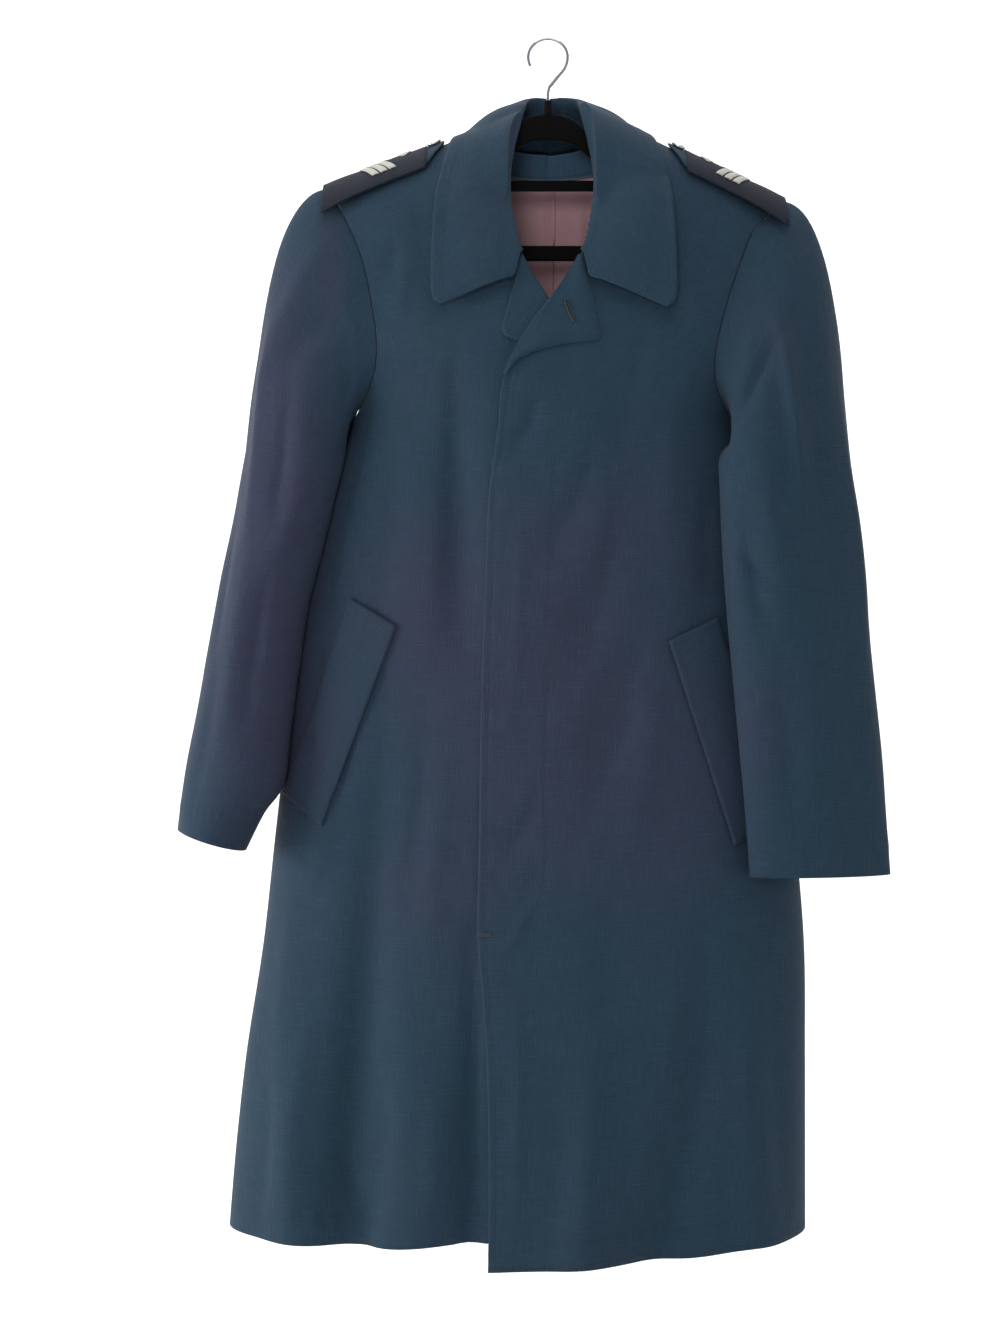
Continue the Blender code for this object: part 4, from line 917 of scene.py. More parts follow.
@dataclass(frozen=True)
class WovenFinish:
    """Woven cotton-mix cloth: shot threads of two colours, mixed in patches that are partly painted sheen,
    slubs both ways and a fine thread grain.

    Real threads lie 0.3 mm apart, too fine for the picture, so the grain is drawn at thread_mm.
    """

    name: str
    base: str
    shot: str
    pale: str
    roughness: float
    sheen: float
    thread_mm: float = 1.2
    slub_mm: float = 1.5
    slub_length_mm: float = 26.0
    slub_share: float = 0.14
    shot_share: float = 0.9
    patch_per_m: float = 9.0
    bump_mm: float = 0.5

    def build(self) -> bpy.types.Material:
        """Makes the material, on the piece's own map in metres."""
        made, tree, shader = new_material(self.name)
        uv = add_node(tree, "ShaderNodeUVMap", {"uv_map": "cloth"}, {}, {}).outputs["UV"]
        place = add_node(tree, "ShaderNodeTexCoord", {}, {}, {}).outputs["Object"]
        slub, long = 1000 / self.slub_mm, 1000 / self.slub_length_mm
        threads = []
        for scale in ((slub, long, 1), (long, slub, 1)):
            stretched = add_node(tree, "ShaderNodeMapping", {}, {"Scale": scale}, {"Vector": uv})
            noise = add_node(tree, "ShaderNodeTexNoise", {"noise_dimensions": "2D"},
                             {"Scale": 1.0, "Detail": 2.0, "Roughness": 0.6},
                             {"Vector": stretched.outputs[0]})
            threads.append(noise.outputs["Fac"])
        both = add_node(tree, "ShaderNodeMath", {"operation": "MAXIMUM"}, {}, {0: threads[0], 1: threads[1]})
        slubs = add_node(tree, "ShaderNodeMapRange", {}, {"From Min": 0.48, "From Max": 0.78},
                         {"Value": both.outputs[0]})
        bands = []
        for direction in ("X", "Y"):
            wave = add_node(tree, "ShaderNodeTexWave", {"bands_direction": direction, "wave_profile": "SIN"},
                            {"Scale": 1000 / self.thread_mm / (2 * math.pi), "Distortion": 1.2, "Detail": 1.0,
                             "Detail Scale": 0.6}, {"Vector": uv})
            bands.append(wave.outputs["Fac"])
        grain = add_node(tree, "ShaderNodeMath", {"operation": "MULTIPLY"}, {}, {0: bands[0], 1: bands[1]})
        patches = add_node(tree, "ShaderNodeTexNoise", {}, {"Scale": self.patch_per_m, "Detail": 3.0},
                           {"Vector": place})
        # The cast is partly painted sheen: fixed patches where the light brings out the violet threads
        cast = add_node(tree, "ShaderNodeAttribute", {"attribute_name": "cast"}, {}, {})
        uneven = add_node(tree, "ShaderNodeMath", {"operation": "MULTIPLY_ADD"}, {1: 0.5, 2: -0.25},
                          {0: patches.outputs["Fac"]})
        toned = add_node(tree, "ShaderNodeMath", {"operation": "ADD", "use_clamp": True}, {},
                         {0: cast.outputs["Fac"], 1: uneven.outputs[0]})
        share = add_node(tree, "ShaderNodeMath", {"operation": "MULTIPLY"}, {1: self.shot_share},
                         {0: toned.outputs[0]})
        shot = add_node(tree, "ShaderNodeMix", {"data_type": "RGBA"},
                        {6: linear(self.base), 7: linear(self.shot)}, {0: share.outputs[0]})
        strength = add_node(tree, "ShaderNodeMath", {"operation": "MULTIPLY"}, {1: self.slub_share},
                            {0: slubs.outputs[0]})
        light = add_node(tree, "ShaderNodeMix", {"data_type": "RGBA"}, {7: linear(self.pale)},
                         {0: strength.outputs[0], 6: shot.outputs[2]})
        dark = add_node(tree, "ShaderNodeMapRange", {}, {"To Min": 0.8, "To Max": 1.06},
                        {"Value": grain.outputs[0]})
        colour = add_node(tree, "ShaderNodeMix", {"data_type": "RGBA", "blend_type": "MULTIPLY"}, {0: 1.0},
                          {6: light.outputs[2], 7: dark.outputs[0]})
        height = add_node(tree, "ShaderNodeMath", {"operation": "MULTIPLY_ADD"}, {1: 0.5},
                          {0: grain.outputs[0], 2: slubs.outputs[0]})
        bump = add_node(tree, "ShaderNodeBump", {}, {"Strength": 0.5, "Distance": self.bump_mm * MM},
                        {"Height": height.outputs[0]})
        tree.links.new(colour.outputs[2], shader.inputs["Base Color"])
        tree.links.new(bump.outputs[0], shader.inputs["Normal"])
        shader.inputs["Roughness"].default_value = self.roughness
        shader.inputs["Sheen Weight"].default_value = self.sheen
        shader.inputs["Sheen Roughness"].default_value = 0.45
        shader.inputs["Specular IOR Level"].default_value = 0.25
        return made


@dataclass(frozen=True)
class PlainFinish:
    """A surface of one colour with a fine uneven grain: flock, thread, moulding or metal."""

    name: str
    base: str
    spot: str
    roughness: float
    grain_mm: float
    bump_mm: float
    metallic: float = 0.0
    sheen: float = 0.0
    specular: float = 0.4
    stretch: tuple = (1.0, 1.0, 1.0)

    def build(self) -> bpy.types.Material:
        """Makes the material, on the piece's place in the coat's frame."""
        made, tree, shader = new_material(self.name)
        place = add_node(tree, "ShaderNodeTexCoord", {}, {}, {}).outputs["Object"]
        stretched = add_node(tree, "ShaderNodeMapping", {}, {"Scale": self.stretch}, {"Vector": place})
        grain = add_node(tree, "ShaderNodeTexNoise", {}, {"Scale": 1000 / self.grain_mm, "Detail": 3.0},
                         {"Vector": stretched.outputs[0]})
        share = add_node(tree, "ShaderNodeMapRange", {}, {"From Min": 0.35, "From Max": 0.7},
                         {"Value": grain.outputs["Fac"]})
        colour = add_node(tree, "ShaderNodeMix", {"data_type": "RGBA"},
                          {6: linear(self.base), 7: linear(self.spot)}, {0: share.outputs[0]})
        bump = add_node(tree, "ShaderNodeBump", {}, {"Strength": 0.6, "Distance": self.bump_mm * MM},
                        {"Height": grain.outputs["Fac"]})
        tree.links.new(colour.outputs[2], shader.inputs["Base Color"])
        tree.links.new(bump.outputs[0], shader.inputs["Normal"])
        shader.inputs["Roughness"].default_value = self.roughness
        shader.inputs["Metallic"].default_value = self.metallic
        shader.inputs["Specular IOR Level"].default_value = self.specular
        shader.inputs["Sheen Weight"].default_value = self.sheen
        return made


class Finishes:
    """Every finish of the coat and its hanger, made once."""

    def __init__(self) -> None:
        """Makes the materials."""
        # Shot cotton mix: dull, with slubs that catch the light, blue with a violet cast in patches; the
        # violet threads are the cloth's own, and the patches where they show are partly painted sheen
        self.cloth = WovenFinish("shot_slub_cotton", "162D3D", "2A2A3F", "3C5C72", 0.88, 0.02).build()
        # The same cloth inside the neck, painted lighter than the outer cloth to stand in for the light that
        # falls into the neck
        self.facing = WovenFinish("facing_cotton_painted_lighter", "375268", "3C4C62", "5C788C", 0.88, 0.02).build()
        # Smooth viscose lining, closely woven, with a soft sheen
        self.lining = WovenFinish(
            "mauve_viscose_lining", "A88086", "94727E", "C0A0A6", 0.5, 0.25,
            thread_mm=0.9, slub_share=0.2, bump_mm=0.15,
        ).build()
        # Dense wool-mix serge of the rank slides
        self.slide = WovenFinish(
            "navy_serge", "141925", "161A26", "262C3C", 0.92, 0.02,
            thread_mm=1.0, slub_length_mm=8.0, slub_share=0.25,
        ).build()
        # Silver-white embroidery thread, matt from a distance
        self.braid = PlainFinish(
            "silver_thread", "A3A299", "7C7D78", 0.6, 0.7, 0.5, sheen=0.2, stretch=(1.0, 3.0, 1.0)
        ).build()
        # Sewing thread in the cloth's colour, a little darker
        self.thread = PlainFinish("blue_sewing_thread", "15232F", "0F1A24", 0.7, 0.5, 0.2).build()
        # Dark waxed twist of the worked buttonhole
        self.twist = PlainFinish("dark_buttonhole_twist", "0B1118", "141C26", 0.6, 0.5, 0.2).build()
        # Pale cotton piping
        self.piping = PlainFinish("pale_piping", "4A5E6C", "3A4C5A", 0.7, 0.6, 0.2).build()
        # Nickelled button, satin from wear
        self.button = PlainFinish("nickel_plate", "C6C8CA", "9B9EA2", 0.32, 0.4, 0.03, metallic=1.0).build()
        # Flocked hanger: short black fibres that take the light at a glance
        self.flock = PlainFinish(
            "black_flock_fibres", "050506", "0A0A0C", 0.97, 0.5, 0.25, sheen=0.04, specular=0.08
        ).build()
        # Drawn steel wire, chromed
        self.wire = PlainFinish("chromed_wire", "BFC2C6", "A4A8AD", 0.22, 1.0, 0.01, metallic=1.0).build()


def put_object(name: str, builder: bmesh.types.BMesh, finishes: Sequence,
               smooth_angle: float = 40.0) -> bpy.types.Object:
    """Puts a finished bmesh into the scene as one object on the part's body.

    Args:
        name: the piece's name.
        builder: its mesh, in metres; it is freed.
        finishes: its materials.
        smooth_angle: edges sharper than this many degrees stay sharp.

    Returns:
        The object.
    """
    mesh = bpy.data.meshes.new(name)
    builder.to_mesh(mesh)
    builder.free()
    for finish in finishes:
        mesh.materials.append(finish)
    mesh.shade_smooth()
    mesh.set_sharp_from_angle(angle=math.radians(smooth_angle))
    made = bpy.data.objects.new(name, mesh)
    bpy.context.scene.collection.objects.link(made)
    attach(made, "root")
    LOG.info("%s: %d faces", name, len(mesh.polygons))
    return made


def lay_cloth(name: str, grid: Array, uv: Array, normals: Array, finishes: Sequence,
              wall: float = CLOTH, closed: bool = False) -> bpy.types.Object:
    """Lays a sheet of cloth on a grid of points and gives it its thickness inwards.

    Args:
        name: the piece's name.
        grid: rows, columns and coordinates of its face, in millimetres.
        uv: the same grid's places on the cloth, in metres.
        normals: which way its face looks.
        finishes: the face's material, and the back's where it differs.
        wall: its thickness in millimetres.
        closed: True where the last column meets the first.

    Returns:
        The object.
    """
    rows, columns = grid.shape[:2]
    builder = bmesh.new()
    bmesh.ops.create_grid(builder, x_segments=columns - 1, y_segments=rows - 1, size=1.0)
    layer = builder.loops.layers.uv.get("cloth") or builder.loops.layers.uv.new("cloth")
    points = grid.reshape(-1, 3) * MM
    flat = uv.reshape(-1, 2)
    for vert, point in zip(builder.verts, points):
        vert.co = point
    builder.verts.index_update()
    # The cast: the cloth's violet threads, in fixed patches that are partly painted sheen
    cast = builder.verts.layers.float.new("cast")
    for vert, share in zip(builder.verts, shot_and_sheen_share(grid.reshape(-1, 3))):
        vert[cast] = share
    for face in builder.faces:
        for loop in face.loops:
            loop[layer].uv = flat[loop.vert.index]
    builder.normal_update()
    agree = 0.0
    looks = normals.reshape(-1, 3)
    for middle in list(builder.faces)[:: max(1, len(builder.faces) // 200)]:
        agree += float(np.dot(looks[middle.verts[0].index], middle.normal))
    if agree < 0:
        bmesh.ops.reverse_faces(builder, faces=builder.faces[:])
    if closed:
        bmesh.ops.remove_doubles(builder, verts=builder.verts[:], dist=1e-6)
    made = put_object(name, builder, finishes, 60.0)
    shell = made.modifiers.new("wall", "SOLIDIFY")
    shell.thickness = wall * MM
    shell.offset = -1
    shell.use_rim = True
    shell.material_offset = 1 if len(finishes) > 1 else 0
    return made


def shot_and_sheen_share(points: Array) -> Array:
    """How much of the violet cross threads shows: the cloth's own threads, in fixed patches that are partly
    painted sheen.

    Args:
        points: rows of x, y and z.

    Returns:
        A share from 0 to 1 for each.
    """
    away = (EYE[1] - points[:, 1]) / EYE[1]
    x = EYE[0] + (points[:, 0] - EYE[0]) / away
    z = EYE[2] + (points[:, 2] - EYE[2]) / away
    total = np.zeros(len(points))
    for x0, z0, half_x, half_z, strength in SHOT_AND_SHEEN_PATCHES.rows:
        total += strength * np.exp(-(((x - x0) / half_x) ** 2) - ((z - z0) / half_z) ** 2)
    return np.clip(total + 0.12 * wander(x, z, 120, 9.1), 0, 1)


def cloth_map(grid: Array, from_last: bool = False) -> Array:
    """Where a grid's points lie on the flat cloth, from lengths along the grid.

    Args:
        grid: rows, columns and coordinates.
        from_last: True to measure across from the last column.

    Returns:
        Places in metres, one a point.
    """
    across = np.concatenate(
        [np.zeros((len(grid), 1)), np.cumsum(np.linalg.norm(np.diff(grid, axis=1), axis=2), axis=1)], axis=1
    )
    if from_last:
        across = across[:, -1:] - across
    down = np.concatenate([[0], np.cumsum(np.linalg.norm(np.diff(grid, axis=0), axis=2).mean(axis=1))])
    return np.stack([across, np.broadcast_to(-down[:, None], across.shape)], -1) * MM


class Seams:
    """The lines along which the coat's panels meet, sampled finely."""

    @staticmethod
    def armhole(side: int, is_front: bool) -> Array:
        """The armhole seam from the shoulder's tip to the underarm.

        Args:
            side: which sleeve's.
            is_front: True for the front's part of it, False for the back's.

        Returns:
            Its points.
        """
        tip_x, tip_z = SHOULDERS[side]["tip"]
        under = np.array((side * float(half_width(side, UNDERARM_Z)), 0.0, UNDERARM_Z))
        points = [np.array((tip_x, 0.0, tip_z))]
        if is_front:
            points += [on_front(x, z, side) for x, z in FRONT_ARMHOLE[side]]
        else:
            points += [np.array((x, float(back_depth(x, z)), z)) for x, z in BACK_ARMHOLE[side]]
        points.append(under)
        seam = smooth_path(points, (np.arange(ARMHOLE_ROWS + 1) / ARMHOLE_ROWS) ** 1.3)
        depth = front_depth if is_front else back_depth
        turn = -1 if is_front else 1
        inside = slice(1, ARMHOLE_ROWS)
        seam[inside, 1] = turn * depth(seam[inside, 0], seam[inside, 2])
        return seam

    @staticmethod
    def neckline(side: int) -> Array:
        """The front neck seam from the shoulder seam to the collar's end.

        Args:
            side: the front's side.

        Returns:
            Its points.
        """
        neck_x, neck_z = SHOULDERS[side]["neck"]
        points = [np.array((neck_x, 0.0, neck_z))] + [on_front(x, z, side) for x, z in NECKLINE[side]]
        seam = smooth_path(points, (np.arange(NECK_ROWS + 1) / NECK_ROWS) ** 1.15)
        seam[1:, 1] = -front_depth(seam[1:, 0], seam[1:, 2], side)
        return seam

    @staticmethod
    def back_neckline() -> Array:
        """The back neck seam from the wearer's right shoulder seam to the left one.

        Returns:
            Its points.
        """
        right_x, right_z = SHOULDERS[-1]["neck"]
        left_x, left_z = SHOULDERS[1]["neck"]
        turn = np.linspace(0, np.pi, 2 * BACK_NECK_HALF + 1)
        middle, half = (left_x + right_x) / 2, (left_x - right_x) / 2
        x = middle - half * np.cos(turn)
        sides = right_z + (left_z - right_z) * (x - right_x) / (left_x - right_x)
        z = sides + (-BACK_NECK_DROP - (right_z + left_z) / 2) * np.sin(turn)
        seam = np.stack([x, back_depth(x, z), z], -1)
        seam[[0, -1], 1] = 0
        return seam

    @staticmethod
    def side_heights() -> Array:
        """Heights of the rows below the underarm."""
        return np.linspace(UNDERARM_Z, SIDE_HEM_Z, SKIRT_ROWS + 1)[1:]

    @staticmethod
    def side(side: int) -> Array:
        """The side seam from the underarm to the hem.

        Args:
            side: which one.

        Returns:
            Its points.
        """
        z = Seams.side_heights()
        x = side * half_width(np.full_like(z, side), z)
        return np.stack([x, np.zeros_like(z), z], -1)


@dataclass
class Panel:
    """A finished grid of cloth: its face's points, which way they look and where they lie flat."""

    grid: Array
    normals: Array
    uv: Array

    def at(self, row: float, column: float, lift: float = 0.0) -> Array:
        """A point on the face, between its rows and columns.

        Args:
            row: along the rows.
            column: along the columns.
            lift: how far off the face.

        Returns:
            The point.
        """
        rows, columns = self.grid.shape[:2]
        row, column = min(max(row, 0), rows - 1.001), min(max(column, 0), columns - 1.001)
        i, j = int(row), int(column)
        u, v = row - i, column - j
        total = np.zeros(3)
        shares = ((0, 0, (1 - u) * (1 - v)), (1, 0, u * (1 - v)), (0, 1, (1 - u) * v), (1, 1, u * v))
        for di, dj, share in shares:
            total += share * (self.grid[i + di, j + dj] + lift * self.normals[i + di, j + dj])
        return total


def flattened(normals: Array, where: Array) -> None:
    """Lays a seam's normals into the seam's own plane, so that both walls meet there."""
    normals[where, 1] = 0
    normals[where] /= np.linalg.norm(normals[where], axis=-1, keepdims=True)


def rumple(x: Array, z: Array, side: int) -> Array:
    """A front's creases and its uneven lie.

    Args:
        x: across.
        z: up.
        side: the front's side.

    Returns:
        How far the cloth stands out there, in millimetres.
    """
    uneven = 0.8 * wander(x, z, 95, 1.3 * side) + 0.3 * wander(x, z, 34, 2.1 + side)
    return creases(x, z, FRONT_CREASES[side]) + uneven


@dataclass
class Front:
    """One front, from its armhole and side seam to its neckline, roll line and edge."""

    side: Side
    name: str
    node: str
    hem_pucker: float = 0.9
    panel: Optional[Panel] = field(default=None)

    def detail(self, x: Array, z: Array, above_hem: Array,
               from_edge: Array) -> Array:
        """Creases, the hem's puckers and the edge's ripple.

        Args:
            x: across.
            z: up.
            above_hem: height above the hem's edge.
            from_edge: distance from the front edge.

        Returns:
            How far the cloth stands out, in millimetres.
        """
        side = self.side.value
        total = rumple(x, z, side)
        hem = np.exp(-((above_hem - HEM_STITCH) / 9) ** 2)
        puckers = np.sin(x / 3.1 + 2 * wander(x, z, 40, 5.5))
        total += self.hem_pucker * hem * (0.6 + wander(x, z, 60, 4.0)) * puckers
        total -= 0.6 * np.exp(-((above_hem - HEM_STITCH) / 3.2) ** 2)
        total -= 0.6 * np.exp(-((from_edge - EDGE_STITCH) / 1.8) ** 2) * (z < ROLL_EDGE[side][-1][1] + 40)
        ripple = np.exp(-((from_edge - EDGE_STITCH) / 8) ** 2) * (z < -340)
        total += 0.45 * ripple * np.sin(z / 4.3 + 3 * wander(x, z, 70, 6.5))
        return total

    def lay(self, finishes: Finishes) -> None:
        """Makes the panel and its object.

        Args:
            finishes: the coat's finishes.
        """
        side = self.side.value
        outer = np.concatenate([Seams.armhole(side, True), Seams.side(side)])
        roll = [Seams.neckline(side)[-1]] + [on_front(x, z, side) for x, z in ROLL_EDGE[side]]
        rolled = smooth_path(roll, np.linspace(0, 1, ARMHOLE_ROWS - NECK_ROWS + 1))[1:]
        edge = []
        hem_level = EYE[2] + (SIDE_HEM_Z - EYE[2]) * EDGE_SIGHT
        for level in np.linspace(ROLL_EDGE[side][-1][1], hem_level, SKIRT_ROWS + 1)[1:]:
            edge.append(on_front(float(FRONT_EDGE[side].at(level, "x")), level, side))
        inner = np.concatenate([Seams.neckline(side), rolled, np.array(edge)])
        rows = len(outer)
        s = np.concatenate([np.linspace(0, EDGE_BAND, FRONT_COLUMNS - EDGE_COLUMNS + 1)[:-1],
                            np.linspace(EDGE_BAND, 1, EDGE_COLUMNS + 1)])
        grid = np.zeros((rows, FRONT_COLUMNS + 1, 3))
        detail = np.zeros(grid.shape[:2])
        tight = TIGHT_SHARE * ARMHOLE_ROWS
        for j in range(rows):
            rounded = min(max((j - tight) / (ARMHOLE_ROWS - tight), 0), 1) * 0.85
            share = (1 - rounded) * s + rounded * (1 - np.cos(s * np.pi / 2))
            x = outer[j, 0] + (inner[j, 0] - outer[j, 0]) * share
            z = outer[j, 2] + (inner[j, 2] - outer[j, 2]) * share
            lower = max(0, (j - ARMHOLE_ROWS) / SKIRT_ROWS) ** 2
            from_edge = np.abs(x - inner[j, 0])
            drop = HEM[side].at(from_edge, "drop")
            z = z - lower * drop
            grid[j] = np.stack([x, -front_depth(x, z, side), z], -1)
            above_hem = z - (SIDE_HEM_Z - drop)
            fade = smooth((np.abs(x - outer[j, 0])) / 34) * smooth((shoulder_z(x) - z) / 34)
            detail[j] = fade * self.detail(x, z, above_hem, from_edge)
            if self.side is Side.RIGHT:
                covered = smooth((x - FRONT_EDGE[1].at(z, "x") - 4) / 14)
                detail[j] = detail[j] * (1 - 0.8 * covered) - 0.8 * covered
        grid[:, 0] = outer + (0, -SEAM_GAP / 2, 0)
        grid[0, :, 1] = -SEAM_GAP / 2
        normals = grid_normals(grid, FORWARD)
        seam = np.zeros(grid.shape[:2], bool)
        seam[0, :] = True
        seam[ARMHOLE_ROWS:, 0] = True
        flattened(normals, seam)
        grid = grid + detail[..., None] * normals
        turned = grid_normals(grid, FORWARD)
        self.panel = Panel(grid, np.where(seam[..., None], normals, turned), cloth_map(grid, from_last=True))
        made = lay_cloth(self.name, grid, self.panel.uv, normals, (finishes.cloth, finishes.lining))
        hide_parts(self.node)


@dataclass
class Back:
    """The back, from the shoulder seams and the neckline to the hem."""

    name: str = "back_cloth"
    panel: Optional[Panel] = field(default=None)

    def lay(self, finishes: Finishes) -> None:
        """Makes the panel and its object.

        Args:
            finishes: the coat's finishes.
        """
        right = np.concatenate([Seams.armhole(-1, False), Seams.side(-1)])
        left = np.concatenate([Seams.armhole(1, False), Seams.side(1)])
        neck = Seams.back_neckline()
        right_seam = np.linspace(right[0], neck[0], SHOULDER_COLUMNS + 1)[:-1]
        left_seam = np.linspace(neck[-1], left[0], SHOULDER_COLUMNS + 1)[1:]
        top = np.concatenate([right_seam, neck, left_seam])
        columns = len(top)
        share_top = (top[:, 0] - top[0, 0]) / (top[-1, 0] - top[0, 0])
        turn = np.linspace(0, 1, columns)
        share_low = 0.45 * turn + 0.55 * (1 - np.cos(turn * np.pi)) / 2
        level_row = LEVEL_SHARE * ARMHOLE_ROWS
        chord = top[0, 2] + (top[-1, 2] - top[0, 2]) * share_top
        grid = np.zeros((len(right), columns, 3))
        detail = np.zeros(grid.shape[:2])
        for j in range(len(right)):
            mix = min(j / level_row, 1)
            share = (1 - mix) * share_top + mix * share_low
            x = right[j, 0] + (left[j, 0] - right[j, 0]) * share
            z = right[j, 2] + (left[j, 2] - right[j, 2]) * share + (top[:, 2] - chord) * (1 - mix)
            grid[j] = np.stack([x, back_depth(x, z), z], -1)
            fade = smooth(np.minimum(x - right[j, 0], left[j, 0] - x) / 34) * smooth((shoulder_z(x) - z) / 40)
            above_hem = z - SIDE_HEM_Z
            hem = np.exp(-((above_hem - HEM_STITCH) / 9) ** 2)
            ripple = hem * (0.6 + wander(x, z, 60, 4.4)) * np.sin(x / 3.1 + 2 * wander(x, z, 40, 5.2))
            folds = creases(x, z, BACK_CREASES) + 0.8 * wander(x, z, 95, 3.3) + 0.3 * wander(x, z, 34, 1.1)
            detail[j] = fade * (folds + 0.8 * ripple)
        grid[0] = top
        grid[:, 0] = right
        grid[:, -1] = left
        normals = grid_normals(grid, BACKWARD)
        seam = np.zeros(grid.shape[:2], bool)
        seam[0, : SHOULDER_COLUMNS + 1] = True
        seam[0, -SHOULDER_COLUMNS - 1 :] = True
        seam[ARMHOLE_ROWS:, [0, -1]] = True
        flattened(normals, seam)
        grid = grid + detail[..., None] * normals
        grid[seam, 1] += SEAM_GAP / 2
        turned = grid_normals(grid, BACKWARD)
        self.panel = Panel(grid, np.where(seam[..., None], normals, turned), cloth_map(grid))
        made = lay_cloth(self.name, grid, self.panel.uv, normals, (finishes.cloth, finishes.lining))
        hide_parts("back")


